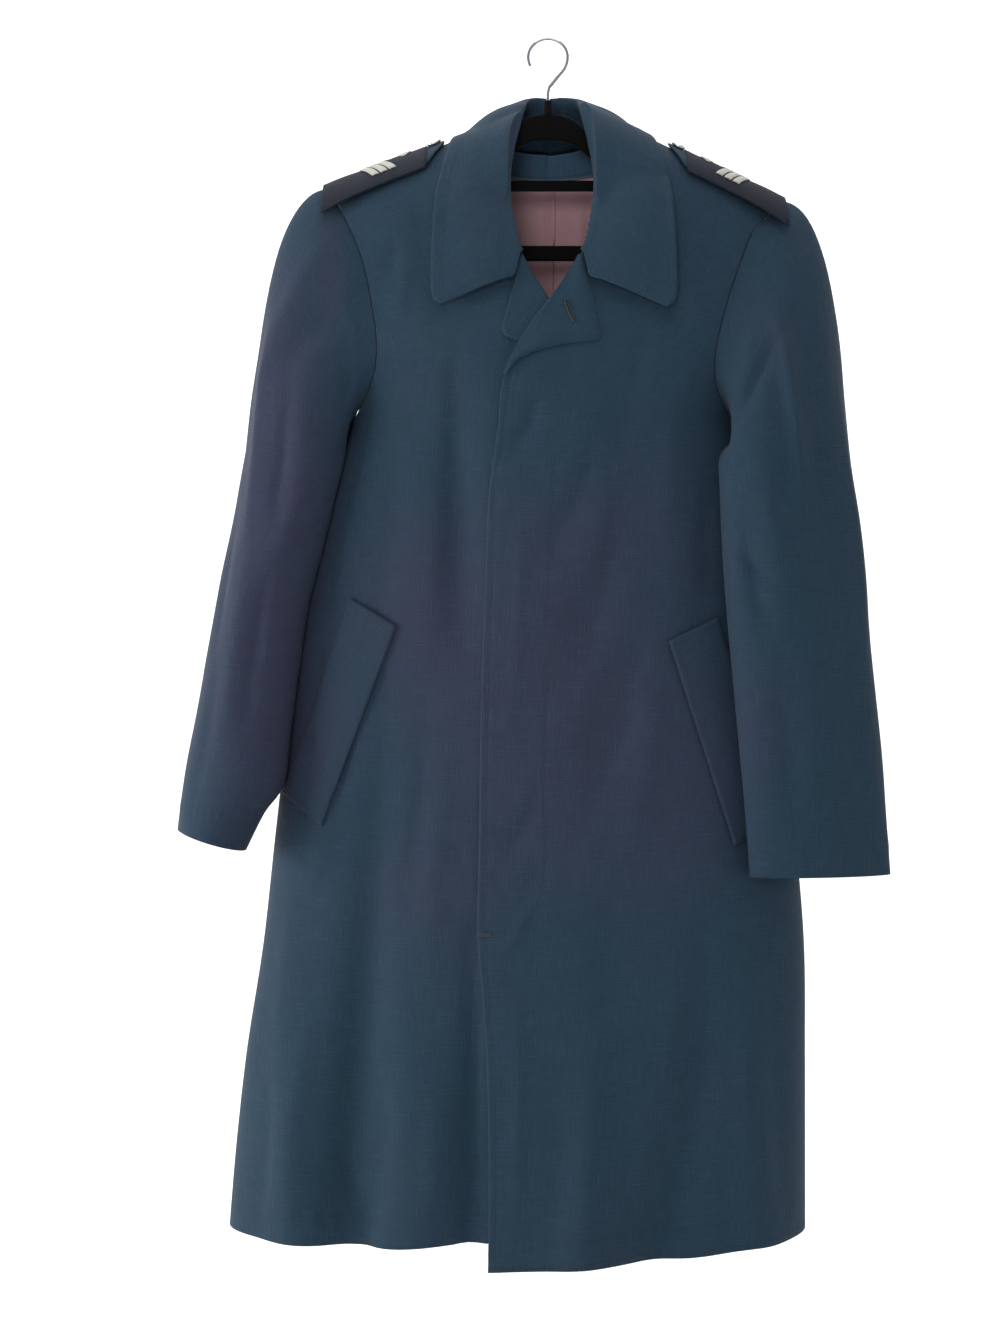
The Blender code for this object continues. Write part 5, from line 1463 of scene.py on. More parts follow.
@dataclass
class Sleeve:
    """A sleeve from its armhole to its cuff, joined to the armhole's own points."""

    side: Side
    panel: Optional[Panel] = field(default=None)
    lengths: Optional[Array] = field(default=None)

    def ring(self, row: dict, count: int) -> Array:
        """One ring of the sleeve, starting at the outer side and turning to the front.

        Args:
            row: the ring's sizes, by their names in the table.
            count: how many points it gets.

        Returns:
            Its points.
        """
        half = abs(row["x_out"] - row["x_in"]) / 2
        lean, y = row["lean"], row["y"]
        outer = on_sight(row["x_out"], y + lean * half, row["z_out"])
        inner = on_sight(row["x_in"], y - lean * half, row["z_in"])
        turn = np.linspace(0, 2 * np.pi, count, endpoint=False)
        mix = (1 + np.cos(turn)) / 2
        x = inner[0] + (outer[0] - inner[0]) * mix
        z = inner[1] + (outer[1] - inner[1]) * mix
        return np.stack([x, y + lean * half * np.cos(turn) - row["half_depth"] * np.sin(turn), z], -1)

    def rings(self, count: int) -> list:
        """Rings from the upper arm to the cuff, evenly between the table's rows.

        Args:
            count: how many points each gets.

        Returns:
            The rings.
        """
        table = SLEEVE[self.side.value]
        places = np.linspace(0, len(table.rows) - 1, SLEEVE_ROWS)
        keyed = Table(("place",) + tuple(table.columns), *[(k, *row) for k, row in enumerate(table.rows)])
        rows = [{name: float(keyed.at(place, name)) for name in table.columns} for place in places]
        return [self.ring(row, count) for row in rows]

    def clear_of_body(self, points: Array, holes: dict) -> Array:
        """Moves points out where they would lie in the body or too near it.

        Args:
            points: one ring's points.
            holes: the armhole seams, the front's under True and the back's under False.

        Returns:
            The points, moved where they had to be.
        """
        result = points.copy()
        for index, (x, y, z) in enumerate(points):
            below = UNDERARM_Z - z
            hole = holes[y < 0]
            if below < -UNDERARM_REACH and abs(x) > np.interp(-z, -hole[:, 2], np.abs(hole[:, 0])):
                continue
            room = min(SLEEVE_CLEARANCE, 2.6 + 0.12 * max(below, 0))
            wide = float(half_width(x, z)) + room
            deep = float(BODY.at(z, "front" if y < 0 else "back")) + room
            inside = ((abs(x) / wide) ** ROUND + (abs(y) / deep) ** ROUND) ** (1 / ROUND)
            if inside < 1:
                result[index, :2] /= inside
        return result

    def crease_height(self, share: Array, angle: Array) -> Array:
        """Small creases on the sleeve.

        Args:
            share: of the sleeve's length, from the armhole.
            angle: round it, in degrees.

        Returns:
            How far the cloth stands out there, in millimetres.
        """
        total = np.zeros(np.broadcast(share, angle).shape)
        for s0, a0, s1, a1, width, height in SLEEVE_CREASES[self.side.value].rows:
            t = (share - s0) / (s1 - s0)
            inside = np.clip(t, 0, 1)
            off = (angle - (a0 + (a1 - a0) * inside) + 180) % 360 - 180
            beyond = np.maximum(np.maximum(-t, t - 1), 0) * (s1 - s0)
            rise = np.sin(math.pi * inside) ** 0.7 * np.exp(-((beyond / 0.02) ** 2))
            total += height * rise * np.exp(-np.abs(off / width) ** 1.7)
        return SLEEVE_STRENGTH * total

    def lay(self, finishes: Finishes, front: Panel, back: Panel) -> None:
        """Makes the sleeve and its object.

        Args:
            finishes: the coat's finishes.
            front: the front that it is sewn to.
            back: the back.
        """
        side = self.side.value
        column = 0 if side == -1 else -1
        rows = ARMHOLE_ROWS + 1
        seam = np.concatenate([front.grid[:rows, 0], back.grid[rows - 2 : 0 : -1, column]])
        seam[0, 1] = seam[ARMHOLE_ROWS, 1] = 0
        count = len(seam)
        rings = self.rings(count)
        upper = rings[0]
        ray = seam - seam.mean(axis=0)
        away = np.array((side * 1.0, 0.0, -0.25))
        away = away + 0.25 * ray / np.maximum(np.linalg.norm(ray, axis=1, keepdims=True), 1)
        away /= np.linalg.norm(away, axis=1, keepdims=True)
        near_underarm = np.exp(-(((np.arange(count) - ARMHOLE_ROWS) / 5) ** 2))[:, None]
        start = seam + SLEEVE_GAP * (1 + near_underarm) * np.array((side, 0, 0))
        reach = np.linalg.norm(upper - seam, axis=1, keepdims=True)
        down = np.array((side * 0.12, 0, -1.0)) * reach * HEAD_DOWN
        head = []
        for step in range(1, SLEEVE_HEAD_ROWS):
            t = (step / SLEEVE_HEAD_ROWS) ** 1.25
            head.append(cubic(t, 1, start, upper, away * reach * HEAD_OUT, down))
        holes = {True: Seams.armhole(side, True), False: Seams.armhole(side, False)}
        grid = np.array([start] + [self.clear_of_body(ring, holes) for ring in head + rings])
        axis = grid.mean(axis=1, keepdims=True)
        normals = grid_normals(grid, grid - axis, closed=True)
        middle = grid.mean(axis=1)
        self.lengths = lengths_along(middle) / lengths_along(middle)[-1]
        share = np.broadcast_to(self.lengths[:, None], grid.shape[:2])
        turn = np.degrees(np.linspace(0, 2 * np.pi, count, endpoint=False))[None, :] * np.ones((len(grid), 1))
        near = smooth(share / 0.03)
        facing_body = np.clip((-side * normals[..., 0] - 0.2) / 0.5, 0, 1)
        detail = self.crease_height(share, turn)
        detail += 0.7 * wander(grid[..., 0] * 1.5 + grid[..., 1], grid[..., 2], 80, side * 1.9)
        cuff = np.exp(-(((1 - share) * SLEEVE_LENGTH - CUFF_HEM) / 6) ** 2)
        detail = near * (detail + 0.4 * cuff * np.sin(np.radians(turn) * 31)) * (1 - 0.85 * facing_body)
        grid = grid + detail[..., None] * normals
        closed = np.concatenate([grid, grid[:, :1]], axis=1)
        looks = np.concatenate([normals, normals[:, :1]], axis=1)
        self.panel = Panel(closed, looks, cloth_map(closed))
        made = lay_cloth(f"{self.side.word}_sleeve_cloth", closed, self.panel.uv, looks,
                         (finishes.cloth, finishes.lining, finishes.cloth), closed=True)
        # The head turns over at the underarm, so it is cloth on both sides: the last slot, that none follows
        for face in made.data.polygons:
            if face.center.z > (UNDERARM_Z - HEAD_FACING) * MM:
                face.material_index = 2
        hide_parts(f"{self.side.word}_sleeve")


@dataclass
class Collar:
    """Stand and leaf in one, from the neck seam over the roll line to the leaf's edge."""

    half_columns: int = 88
    rows: int = 44
    roll_share: float = 0.0
    panel: Optional[Panel] = field(default=None)

    def sizes(self, at: float, side: int) -> dict:
        """The collar's sizes at one place along it.

        Args:
            at: the place, from 0 at the front end to 11 at the centre back.
            side: the side of the neck.

        Returns:
            The sizes by their names in the table.
        """
        row = {name: float(COLLAR.at(at, name)) for name in COLLAR.columns[1:]}
        if side == 1:
            longer = 1 + (LEFT_LEAF - 1) * min(max(7 - at, 0), 1)
            for name in ("roll_x", "mid_x", "edge_x"):
                row[name] = -row[name] + 2 * NECK_CENTRE * min(1, abs(row["roll_x"]) / 20)
            for name in ("mid", "edge"):
                row[name + "_x"] = row["roll_x"] + (row[name + "_x"] - row["roll_x"]) * longer
                row[name + "_z"] = row["roll_z"] + (row[name + "_z"] - row["roll_z"]) * longer
        return row

    def feet(self, side: int, places: Array) -> Array:
        """The neck seam's points under the collar.

        Args:
            side: the side of the neck.
            places: from 0 at the front end to 11 at the centre back.

        Returns:
            One point a place.
        """
        behind = Seams.back_neckline()
        behind = behind[: BACK_NECK_HALF + 1] if side == -1 else behind[: BACK_NECK_HALF - 1 : -1]
        seam = np.concatenate([Seams.neckline(side)[::-1], behind[1:]])
        keys_behind = 7 + np.arange(1, BACK_NECK_HALF + 1) * 4 / BACK_NECK_HALF
        keys = np.concatenate([np.linspace(0, 7, NECK_ROWS + 1), keys_behind])
        return np.stack([np.interp(places, keys, seam[:, i]) for i in range(3)], -1)

    def seen(self, rows: list, name: str, depths: Array) -> Array:
        """Points of the rows at their depths, from where they were seen.

        Args:
            rows: the collar's sizes at each place.
            name: the start of the sizes' names.
            depths: each point's y.

        Returns:
            The points.
        """
        points = [on_sight(row[name + "_x"], y, row[name + "_z"]) for row, y in zip(rows, depths)]
        return np.array([(x, y, z) for (x, z), y in zip(points, depths)])

    def lay(self, finishes: Finishes) -> None:
        """Makes the collar and its object.

        Args:
            finishes: the coat's finishes.
        """
        half = 11 * np.linspace(0, 1, self.half_columns + 1)
        rows, feet = [], []
        for side in (-1, 1):
            half_rows = [self.sizes(at, side) for at in half]
            half_feet = self.feet(side, half)
            rows += half_rows if side == -1 else half_rows[-2::-1]
            feet += list(half_feet if side == -1 else half_feet[-2::-1])
        feet = np.array(feet)
        places = np.concatenate([half, half[-2::-1]])
        half_count = len(half)
        roll_y = np.array([row["roll_y"] for row in rows])
        edge_y = np.array([row["edge_y"] for row in rows])
        rolls = self.seen(rows, "roll", roll_y)
        middles = self.seen(rows, "mid", (roll_y + edge_y) / 2)
        edges = self.seen(rows, "edge", edge_y)
        along = np.gradient(rolls, axis=0)
        out = edges - rolls
        out /= np.linalg.norm(out, axis=1, keepdims=True)
        up = np.cross(out, along)
        up /= np.linalg.norm(up, axis=1, keepdims=True)
        skyward = np.stack([0 * roll_y, 0.8 * np.clip(roll_y / 30, -1, 1), 0 * roll_y + 1], -1)
        up *= np.sign((up * skyward).sum(axis=1, keepdims=True))
        fold = COLLAR_FOLD * np.clip(FRONT_FOLD + places / 4, 0, 1)[:, None]
        low = rolls - fold * up + 2.0 * out
        foot = feet + np.array((0, 0, FOOT_RISE)) - (THIN_CLOTH + SEAM_GAP) * out
        turned = rolls - 0.5 * fold * up - 1.2 * out
        profile = [foot, foot + 0.5 * (low - foot), low, turned, rolls + 0.8 * out]
        notched = []
        for k, row in enumerate(rows):
            inward = NOTCH[0] * (1 if k < half_count else -1)
            notched.append({**row, "mid_x": row["roll_x"] + inward, "mid_z": row["roll_z"] + NOTCH[1]})
        corners = self.seen(notched, "mid", roll_y)
        sharp = np.clip(1 - places / 1.3, 0, 1)[:, None]
        for s in (0.05, 0.1, 0.16, 0.24, 0.36, 0.52, 0.68, 0.84, 1.0):
            leaf = (1 - s) ** 2 * rolls + 2 * s * (1 - s) * middles + s * s * edges
            turn = min(s / NOTCH_SHARE, 1)
            beyond = max(s - NOTCH_SHARE, 0)
            cut = rolls + (corners - rolls) * turn + (edges - corners) * beyond / (1 - NOTCH_SHARE)
            leaf = (1 - sharp) * leaf + sharp * cut
            profile.append(leaf + LEAF_ARCH * math.sin(math.pi * min(s * 1.1, 1)) * up)
        profile = np.array(profile).transpose(1, 0, 2)
        fractions = np.linspace(0, 1, self.rows)
        grid = np.array([smooth_path(points, fractions) for points in profile])
        far = [lengths_along(points) for points in profile]
        self.roll_share = float(np.mean([f[4] / f[-1] for f in far]))
        for i in range(grid.shape[0]):
            for j in range(grid.shape[1]):
                if fractions[j] > self.roll_share + 0.03:
                    grid[i, j] = raised(grid[i, j], THIN_CLOTH + LEAF_LIFT)
        normals = grid_normals(grid, np.zeros(3))
        if (normals[:, -2] * up).sum() < 0:
            normals = -normals
        leaf = smooth((fractions - self.roll_share) / 0.1)[None, :]
        number = np.arange(len(grid))
        front = np.minimum(number, number[::-1])[:, None] / self.half_columns
        x, z = grid[..., 0], grid[..., 2]
        ripple = 0.5 * wander(x, z, 60, 7.7) + 0.35 * wander(x, z, 24, 3.1)
        edge = np.exp(-(((1 - fractions[None, :]) / 0.12) ** 2)) * np.sin(places[:, None] * 9 + 2.0 * front)
        grid = grid + (leaf * (0.8 * ripple + 0.25 * edge + 0.5))[..., None] * normals
        self.panel = Panel(grid, normals, cloth_map(grid))
        made = lay_cloth("collar_cloth", grid, self.panel.uv, normals, (finishes.cloth,), THIN_CLOTH)
        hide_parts("collar")


@dataclass
class Lapel:
    """The front's corner turned back over it, along the roll line."""

    side: Side
    word: str
    steps: int = 90
    columns: int = 16
    panel: Optional[Panel] = field(default=None)

    def lay(self, finishes: Finishes) -> None:
        """Makes the lapel and its object.

        Args:
            finishes: the coat's finishes.
        """
        side = self.side.value
        fractions = np.linspace(0, 1, self.steps)
        roll = smooth_path(LAPEL[side]["roll"], fractions)
        edge = path_fractions(LAPEL[side]["edge"], fractions)
        soft = edge.copy()
        for _ in range(2):
            soft[1:-1] = (soft[:-2] + 2 * soft[1:-1] + soft[2:]) / 4
        grid = []
        for k, ((x0, z0), (x1, z1)) in enumerate(zip(roll, soft)):
            row = []
            for s in np.linspace(0, 1, self.columns) ** 1.15:
                puff = (1.8 if side == 1 else 0.3) * math.sin(math.pi * s) + 0.9 * math.exp(-s / 0.08) * side
                puff += 0.3 * math.sin(k / 4.0) * math.exp(-((1 - s) / 0.15) ** 2) * (side == 1)
                x, z = x0 + (x1 - x0) * s, z0 + (z1 - z0) * s
                row.append(on_front(x, z, side, 0.6 + max(puff, 0) + THIN_CLOTH))
            grid.append(row)
        grid = np.array(grid)
        normals = grid_normals(grid, FORWARD)
        self.panel = Panel(grid, normals, cloth_map(grid))
        name = f"{self.word}_lapel_cloth"
        made = lay_cloth(name, grid, self.panel.uv, normals, (finishes.cloth,), THIN_CLOTH)
        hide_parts(f"{self.word}_lapel")


@dataclass
class PocketWelt:
    """A slanted pocket's welt, lying on the front."""

    side: Side
    rows: int = 64
    columns: int = 16
    panel: Optional[Panel] = field(default=None)

    def lay(self, finishes: Finishes) -> None:
        """Makes the welt and its object.

        Args:
            finishes: the coat's finishes.
        """
        side = self.side.value
        corners = np.array(WELT[side], float)
        grid = []
        for t in np.linspace(0, 1, self.rows):
            row = []
            for s in np.linspace(0, 1, self.columns):
                top = corners[0] + (corners[1] - corners[0]) * s
                foot = corners[3] + (corners[2] - corners[3]) * s
                x, z = top + (foot - top) * t
                swell = 0.5 * math.sin(math.pi * s) * math.sin(math.pi * t) + 0.25 * math.sin(9 * t + 5 * s)
                row.append((x, z, swell))
            grid.append(row)
        front = FRONT_CREASES[side]
        points = []
        for row in grid:
            line = []
            for x, z, swell in row:
                point = on_front(x, z, side, 0.9 + THIN_CLOTH)
                stand = float(creases(point[0], point[2], front))
                stand += 0.8 * float(wander(point[0], point[2], 95, 1.3 * side))
                line.append(point + (0, -max(stand, 0) - 0.6 - swell, 0))
            points.append(line)
        points = np.array(points)
        normals = grid_normals(points, FORWARD)
        self.panel = Panel(points, normals, cloth_map(points))
        word = f"{self.side.word}_pocket_welt"
        made = lay_cloth(word + "_cloth", points, self.panel.uv, normals, (finishes.cloth,), THIN_CLOTH)
        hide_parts(word)


@dataclass
class ShoulderStrap:
    """The strap, the slide on it with its chevrons and motif, and the strap's button."""

    side: Side
    stations: int = 46
    across: int = 17

    @staticmethod
    def fall(x: float, y: float, z: float, along: float) -> float:
        """How far the strap's bed has fallen from the shoulder line.

        Args:
            x: the line's x.
            y: how far behind it.
            z: the line's height.
            along: how far in from the shoulder's tip.

        Returns:
            The fall, in millimetres.
        """
        front_edge = SLIDE_HALF_WIDTH + STRAP_FORWARD
        fall = (STRAP_FALL + TIP_FALL * math.exp(-max(along, 0) / TIP_REACH)) * (y / front_edge) ** 2
        if along > 0:
            low = z - SHOULDER_BELOW
            reach = float(section(x, low, BODY.at(low, "front" if y < 0 else "back")))
            share = min(abs(y) / max(reach, 1), 1)
            fall = min(fall, SHOULDER_DROP * (1 - math.sqrt(1 - share * share)))
        return fall

    def bed(self, along: float, across: float) -> tuple:
        """The strap's bed at one place.

        Args:
            along: how far in from the shoulder's tip.
            across: how far behind the strap's middle.

        Returns:
            The point, and how steeply the bed falls there.
        """
        line = SHOULDERS[self.side.value]
        (x0, z0), (x1, z1) = line["tip"], line["neck"]
        length = math.hypot(x1 - x0, z1 - z0)
        x = x0 + (x1 - x0) * along / length
        z = z0 + (z1 - z0) * along / length
        y = across - STRAP_FORWARD
        slope = self.fall(x, y + 0.5, z, along) - self.fall(x, y - 0.5, z, along)
        return np.array((x, y, z - self.fall(x, y, z, along))), slope

    def point(self, along: float, across: float, lift: float) -> Array:
        """A point lift mm off the strap's bed, square to it."""
        bed, slope = self.bed(along, across)
        return bed + lift * np.array((0, slope, 1)) / math.hypot(slope, 1)

    def strap(self, stations: Sequence, halves: Sequence, lift: float, finishes: Finishes) -> None:
        """The strap itself, a strip of cloth lying along the shoulder.

        Args:
            stations: how far in from the tip its rows lie.
            halves: its half width at each.
            lift: its face above the shoulder.
            finishes: the coat's finishes.
        """
        grid = np.array([
            [self.point(station, y, lift) for y in np.linspace(-half, half, self.across)]
            for station, half in zip(stations, halves)
        ])
        normals = grid_normals(grid, UPWARD)
        uv = cloth_map(grid)
        word = self.side.word
        made = lay_cloth(f"{word}_strap_cloth", grid, uv, normals, (finishes.cloth,), STRAP_THICK)
        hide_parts(f"{word}_strap")

    def lay(self, finishes: Finishes) -> None:
        """Makes the strap's pieces.

        Args:
            finishes: the coat's finishes.
        """
        rounded = np.linspace(109, STRAP_LENGTH - 4, 10)
        stations = np.concatenate([np.linspace(-4, 106, self.stations), rounded])
        halves = np.where(stations < 108, STRAP_HALF_WIDTH, np.interp(stations, (108, 124), (25, 7)))
        low = SLIDE_LIFT + SLIDE_WALL + STRAP_PLAY
        self.strap(stations, halves, low + STRAP_THICK, finishes)
        self.slide(finishes)
        crown = SLIDE_LIFT + SLIDE_HEIGHT + SEAM_GAP
        for number in range(3):
            self.chevron(number, crown, finishes)
        self.motif(crown, finishes)
        self.button(low + STRAP_THICK + SEAM_GAP, finishes)

    def slide(self, finishes: Finishes) -> None:
        """The rank slide, a flat tube round the strap, with a soft bulge over it.

        Args:
            finishes: the coat's finishes.
        """
        around = np.linspace(-1, 1, 17)
        rings = []
        for station in np.linspace(-4, SLIDE_END, 40):
            swell = 0.5 * math.sin(station / 9.0) * math.exp(-((station - 50) / 60) ** 2)
            ring = []
            for a in around:
                lift = SLIDE_LIFT + SLIDE_HEIGHT - 1.2 * abs(a) ** 12 + swell * (1 - a * a)
                ring.append(self.point(station, SLIDE_HALF_WIDTH * a, lift))
            for a in around[::-1]:
                ring.append(self.point(station, SLIDE_HALF_WIDTH * a, SLIDE_LIFT + 0.9 * abs(a) ** 12))
            rings.append(ring)
        rings = np.array(rings)
        normals = grid_normals(rings, rings - rings.mean(axis=1, keepdims=True), closed=True)
        closed = np.concatenate([rings, rings[:, :1]], axis=1)
        looks = np.concatenate([normals, normals[:, :1]], axis=1)
        uv = cloth_map(closed)
        word = self.side.word
        made = lay_cloth(f"{word}_slide_cloth", closed, uv, looks, (finishes.slide,), SLIDE_WALL, closed=True)
        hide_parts(f"{word}_slide")

    def chevron(self, number: int, crown: float, finishes: Finishes) -> None:
        """One chevron of silver thread, crowned along its middle.

        Args:
            number: which, from the outer one.
            crown: the slide's top above the shoulder.
            finishes: the coat's finishes.
        """
        start = CHEVRON_AT + number * CHEVRON_PITCH
        grid = []
        for y in np.linspace(-CHEVRON_HALF, CHEVRON_HALF, 39):
            near = start + CHEVRON_SLOPE * abs(y)
            thread = 0.18 * (1 if int(round(y * 2)) % 2 else -1)
            row = []
            for s in np.linspace(0, 1, 7):
                lift = crown + CHEVRON_THICK + 0.5 * math.sin(math.pi * s) + thread
                row.append(self.point(near + CHEVRON_WIDTH * s, y, lift))
            grid.append(row)
        self.embroider(f"{self.side.word}_chevron_{number + 1}", np.array(grid), finishes)

    def embroider(self, word: str, grid: Array, finishes: Finishes) -> None:
        """A raised patch of silver thread that stands for a node.

        Args:
            word: the node's name.
            grid: rows, columns and coordinates of its face.
            finishes: the coat's finishes.
        """
        normals = grid_normals(grid, UPWARD)
        made = lay_cloth(word + "_thread", grid, cloth_map(grid), normals, (finishes.braid,), CHEVRON_THICK)
        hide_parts(word)

    def motif(self, crown: float, finishes: Finishes) -> None:
        """A small plain lozenge of silver thread above the chevrons.

        Args:
            crown: the slide's top above the shoulder.
            finishes: the coat's finishes.
        """
        grid = []
        for y in np.linspace(-7, 7, 21):
            half = 7.2 - 0.8 * abs(y)
            thread = 0.14 * math.sin(y * 4.2)
            row = []
            for s in np.linspace(-1, 1, 9):
                lift = crown + CHEVRON_THICK + 0.7 * (1 - s * s) * (1 - (y / 7) ** 2) + thread
                row.append(self.point(MOTIF_AT + half * s, y, lift))
            grid.append(row)
        self.embroider(f"{self.side.word}_motif", np.array(grid), finishes)

    def button(self, lift: float, finishes: Finishes) -> None:
        """A plain domed metal button with a turned rim.

        Args:
            lift: its back above the shoulder.
            finishes: the coat's finishes.
        """
        seat = self.point(BUTTON_AT, 0, lift)
        builder = bmesh.new()
        verts = [builder.verts.new((r * MM, 0, z * MM)) for r, z in BUTTON_PROFILE]
        edges = [builder.edges.new(pair) for pair in zip(verts, verts[1:])]
        bmesh.ops.spin(builder, geom=verts + edges, cent=(0, 0, 0), axis=(0, 0, 1), angle=2 * math.pi,
                       steps=40, use_merge=True)
        bmesh.ops.remove_doubles(builder, verts=builder.verts[:], dist=1e-6)
        line = SHOULDERS[self.side.value]
        slope = math.atan2(line["tip"][1] - line["neck"][1], line["tip"][0] - line["neck"][0])
        turn = -slope if self.side is Side.LEFT else math.pi - slope
        tilt = math.atan(self.bed(BUTTON_AT, 0)[1])
        cosine, sine = math.cos(turn), math.sin(turn)
        rotation = np.array(((cosine, 0, sine), (0, 1, 0), (-sine, 0, cosine)))
        cosine, sine = math.cos(tilt), math.sin(tilt)
        rotation = rotation @ np.array(((1, 0, 0), (0, cosine, sine), (0, -sine, cosine)))
        for vert in builder.verts:
            vert.co = rotation @ np.array(vert.co) + seat * MM
        bmesh.ops.recalc_face_normals(builder, faces=builder.faces[:])
        word = f"{self.side.word}_strap_button"
        made = put_object(word + "_dome", builder, (finishes.button,), 35)
        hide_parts(word)


@dataclass
class NeckInside:
    """The facing band, its piping and the pleated lining inside the upper back."""

    facing: Optional[Panel] = field(default=None)

    @staticmethod
    def inside_back(x: float, z: float, depth: float) -> Array:
        """A point inside the back, this far in from its face."""
        return np.array((x, float(back_depth(x, z)) - depth, z))

    def lay_facing(self, finishes: Finishes) -> None:
        """The band of coat cloth inside the back neck.

        Args:
            finishes: the coat's finishes.
        """
        neck = Seams.back_neckline()
        grid = []
        for x in np.linspace(-FACING_HALF + 14, FACING_HALF - 8, 60):
            top = float(np.interp(x, neck[:, 0], neck[:, 2])) - 0.8
            foot = FACING_FOOT_Z + 8 * (x / FACING_HALF) ** 2
            heights = np.linspace(top, foot, 14)
            grid.append([self.inside_back(x, z, CLOTH + 1.0 + THIN_CLOTH) for z in heights])
        grid = np.array(grid)
        normals = grid_normals(grid, FORWARD)
        self.facing = Panel(grid, normals, cloth_map(grid))
        # The facing's cloth is painted lighter than the outer cloth, standing in for light inside the neck
        made = lay_cloth("neck_facing_cloth", grid, self.facing.uv, normals, (finishes.facing,), THIN_CLOTH)
        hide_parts("neck_facing")

    def lay_lining(self, finishes: Finishes) -> None:
        """The lining, with its centre pleat and soft creases.

        Args:
            finishes: the coat's finishes.
        """
        grid = []
        at_pleat = PLEAT_X + np.array((-1.0, 0.0, 0.8, 1.6))
        for x in np.sort(np.concatenate([np.linspace(-LINING_HALF, LINING_HALF, 74), at_pleat])):
            top = min(FACING_FOOT_Z + 8 * (x / FACING_HALF) ** 2 - 0.6, -126.0)
            row = []
            for z in np.linspace(top, LINING_FOOT_Z, 70):
                lean = x - 0.015 * (z + 126)
                pleat = PLEAT_DEPTH * math.exp(-((lean - PLEAT_X) / 9) ** 2) if lean <= PLEAT_X else 0.0
                soft = float(creases(x, z, LINING_CREASES)) + 0.5 * float(wander(x, z, 46, 2.2))
                depth = CLOTH + 1.6 + pleat + LINING_THICK + max(soft, -0.4)
                row.append(self.inside_back(x, z, depth))
            grid.append(row)
        grid = np.array(grid)
        normals = grid_normals(grid, FORWARD)
        uv = cloth_map(grid)
        made = lay_cloth("back_lining_cloth", grid, uv, normals, (finishes.lining,), LINING_THICK)
        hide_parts("back_lining")

    def lay_piping(self, finishes: Finishes) -> None:
        """The pale piping along the facing's lower edge.

        Args:
            finishes: the coat's finishes.
        """
        points = [self.facing.at(k, PIPING_ROW, 0.7) for k in np.linspace(0, 59, 80)]
        rope("neck_piping", points, 1.1, finishes.piping)

    def lay(self, finishes: Finishes) -> None:
        """Makes all three.

        Args:
            finishes: the coat's finishes.
        """
        self.lay_facing(finishes)
        self.lay_lining(finishes)
        self.lay_piping(finishes)


def rope(name: str, points: Sequence, radius: float, finish: object) -> None:
    """A round cord along points in millimetres, made a mesh.

    Args:
        name: the piece's name.
        points: the route.
        radius: in millimetres.
        finish: its material.
    """
    points = np.array(points)
    ways = np.gradient(points, axis=0)
    ways /= np.linalg.norm(ways, axis=1, keepdims=True)
    builder = bmesh.new()
    rings = []
    for point, way in zip(points, ways):
        side = np.cross(way, (0, 1.0, 0))
        side /= max(np.linalg.norm(side), 1e-6)
        over = np.cross(side, way)
        ring = []
        for a in np.linspace(0, 2 * np.pi, 8, endpoint=False):
            ring.append(builder.verts.new((point + radius * (math.cos(a) * side + math.sin(a) * over)) * MM))
        rings.append(ring)
    for ring, other in zip(rings, rings[1:]):
        edges = [builder.edges.new(pair) if builder.edges.get(pair) is None else builder.edges.get(pair)
                 for loop in (ring, other) for pair in zip(loop, loop[1:] + loop[:1])]
        bmesh.ops.bridge_loops(builder, edges=edges)
    for ring in (rings[0], rings[-1]):
        bmesh.ops.contextual_create(builder, geom=ring)
    bmesh.ops.recalc_face_normals(builder, faces=builder.faces[:])
    made = put_object(name, builder, (finish,), 50)


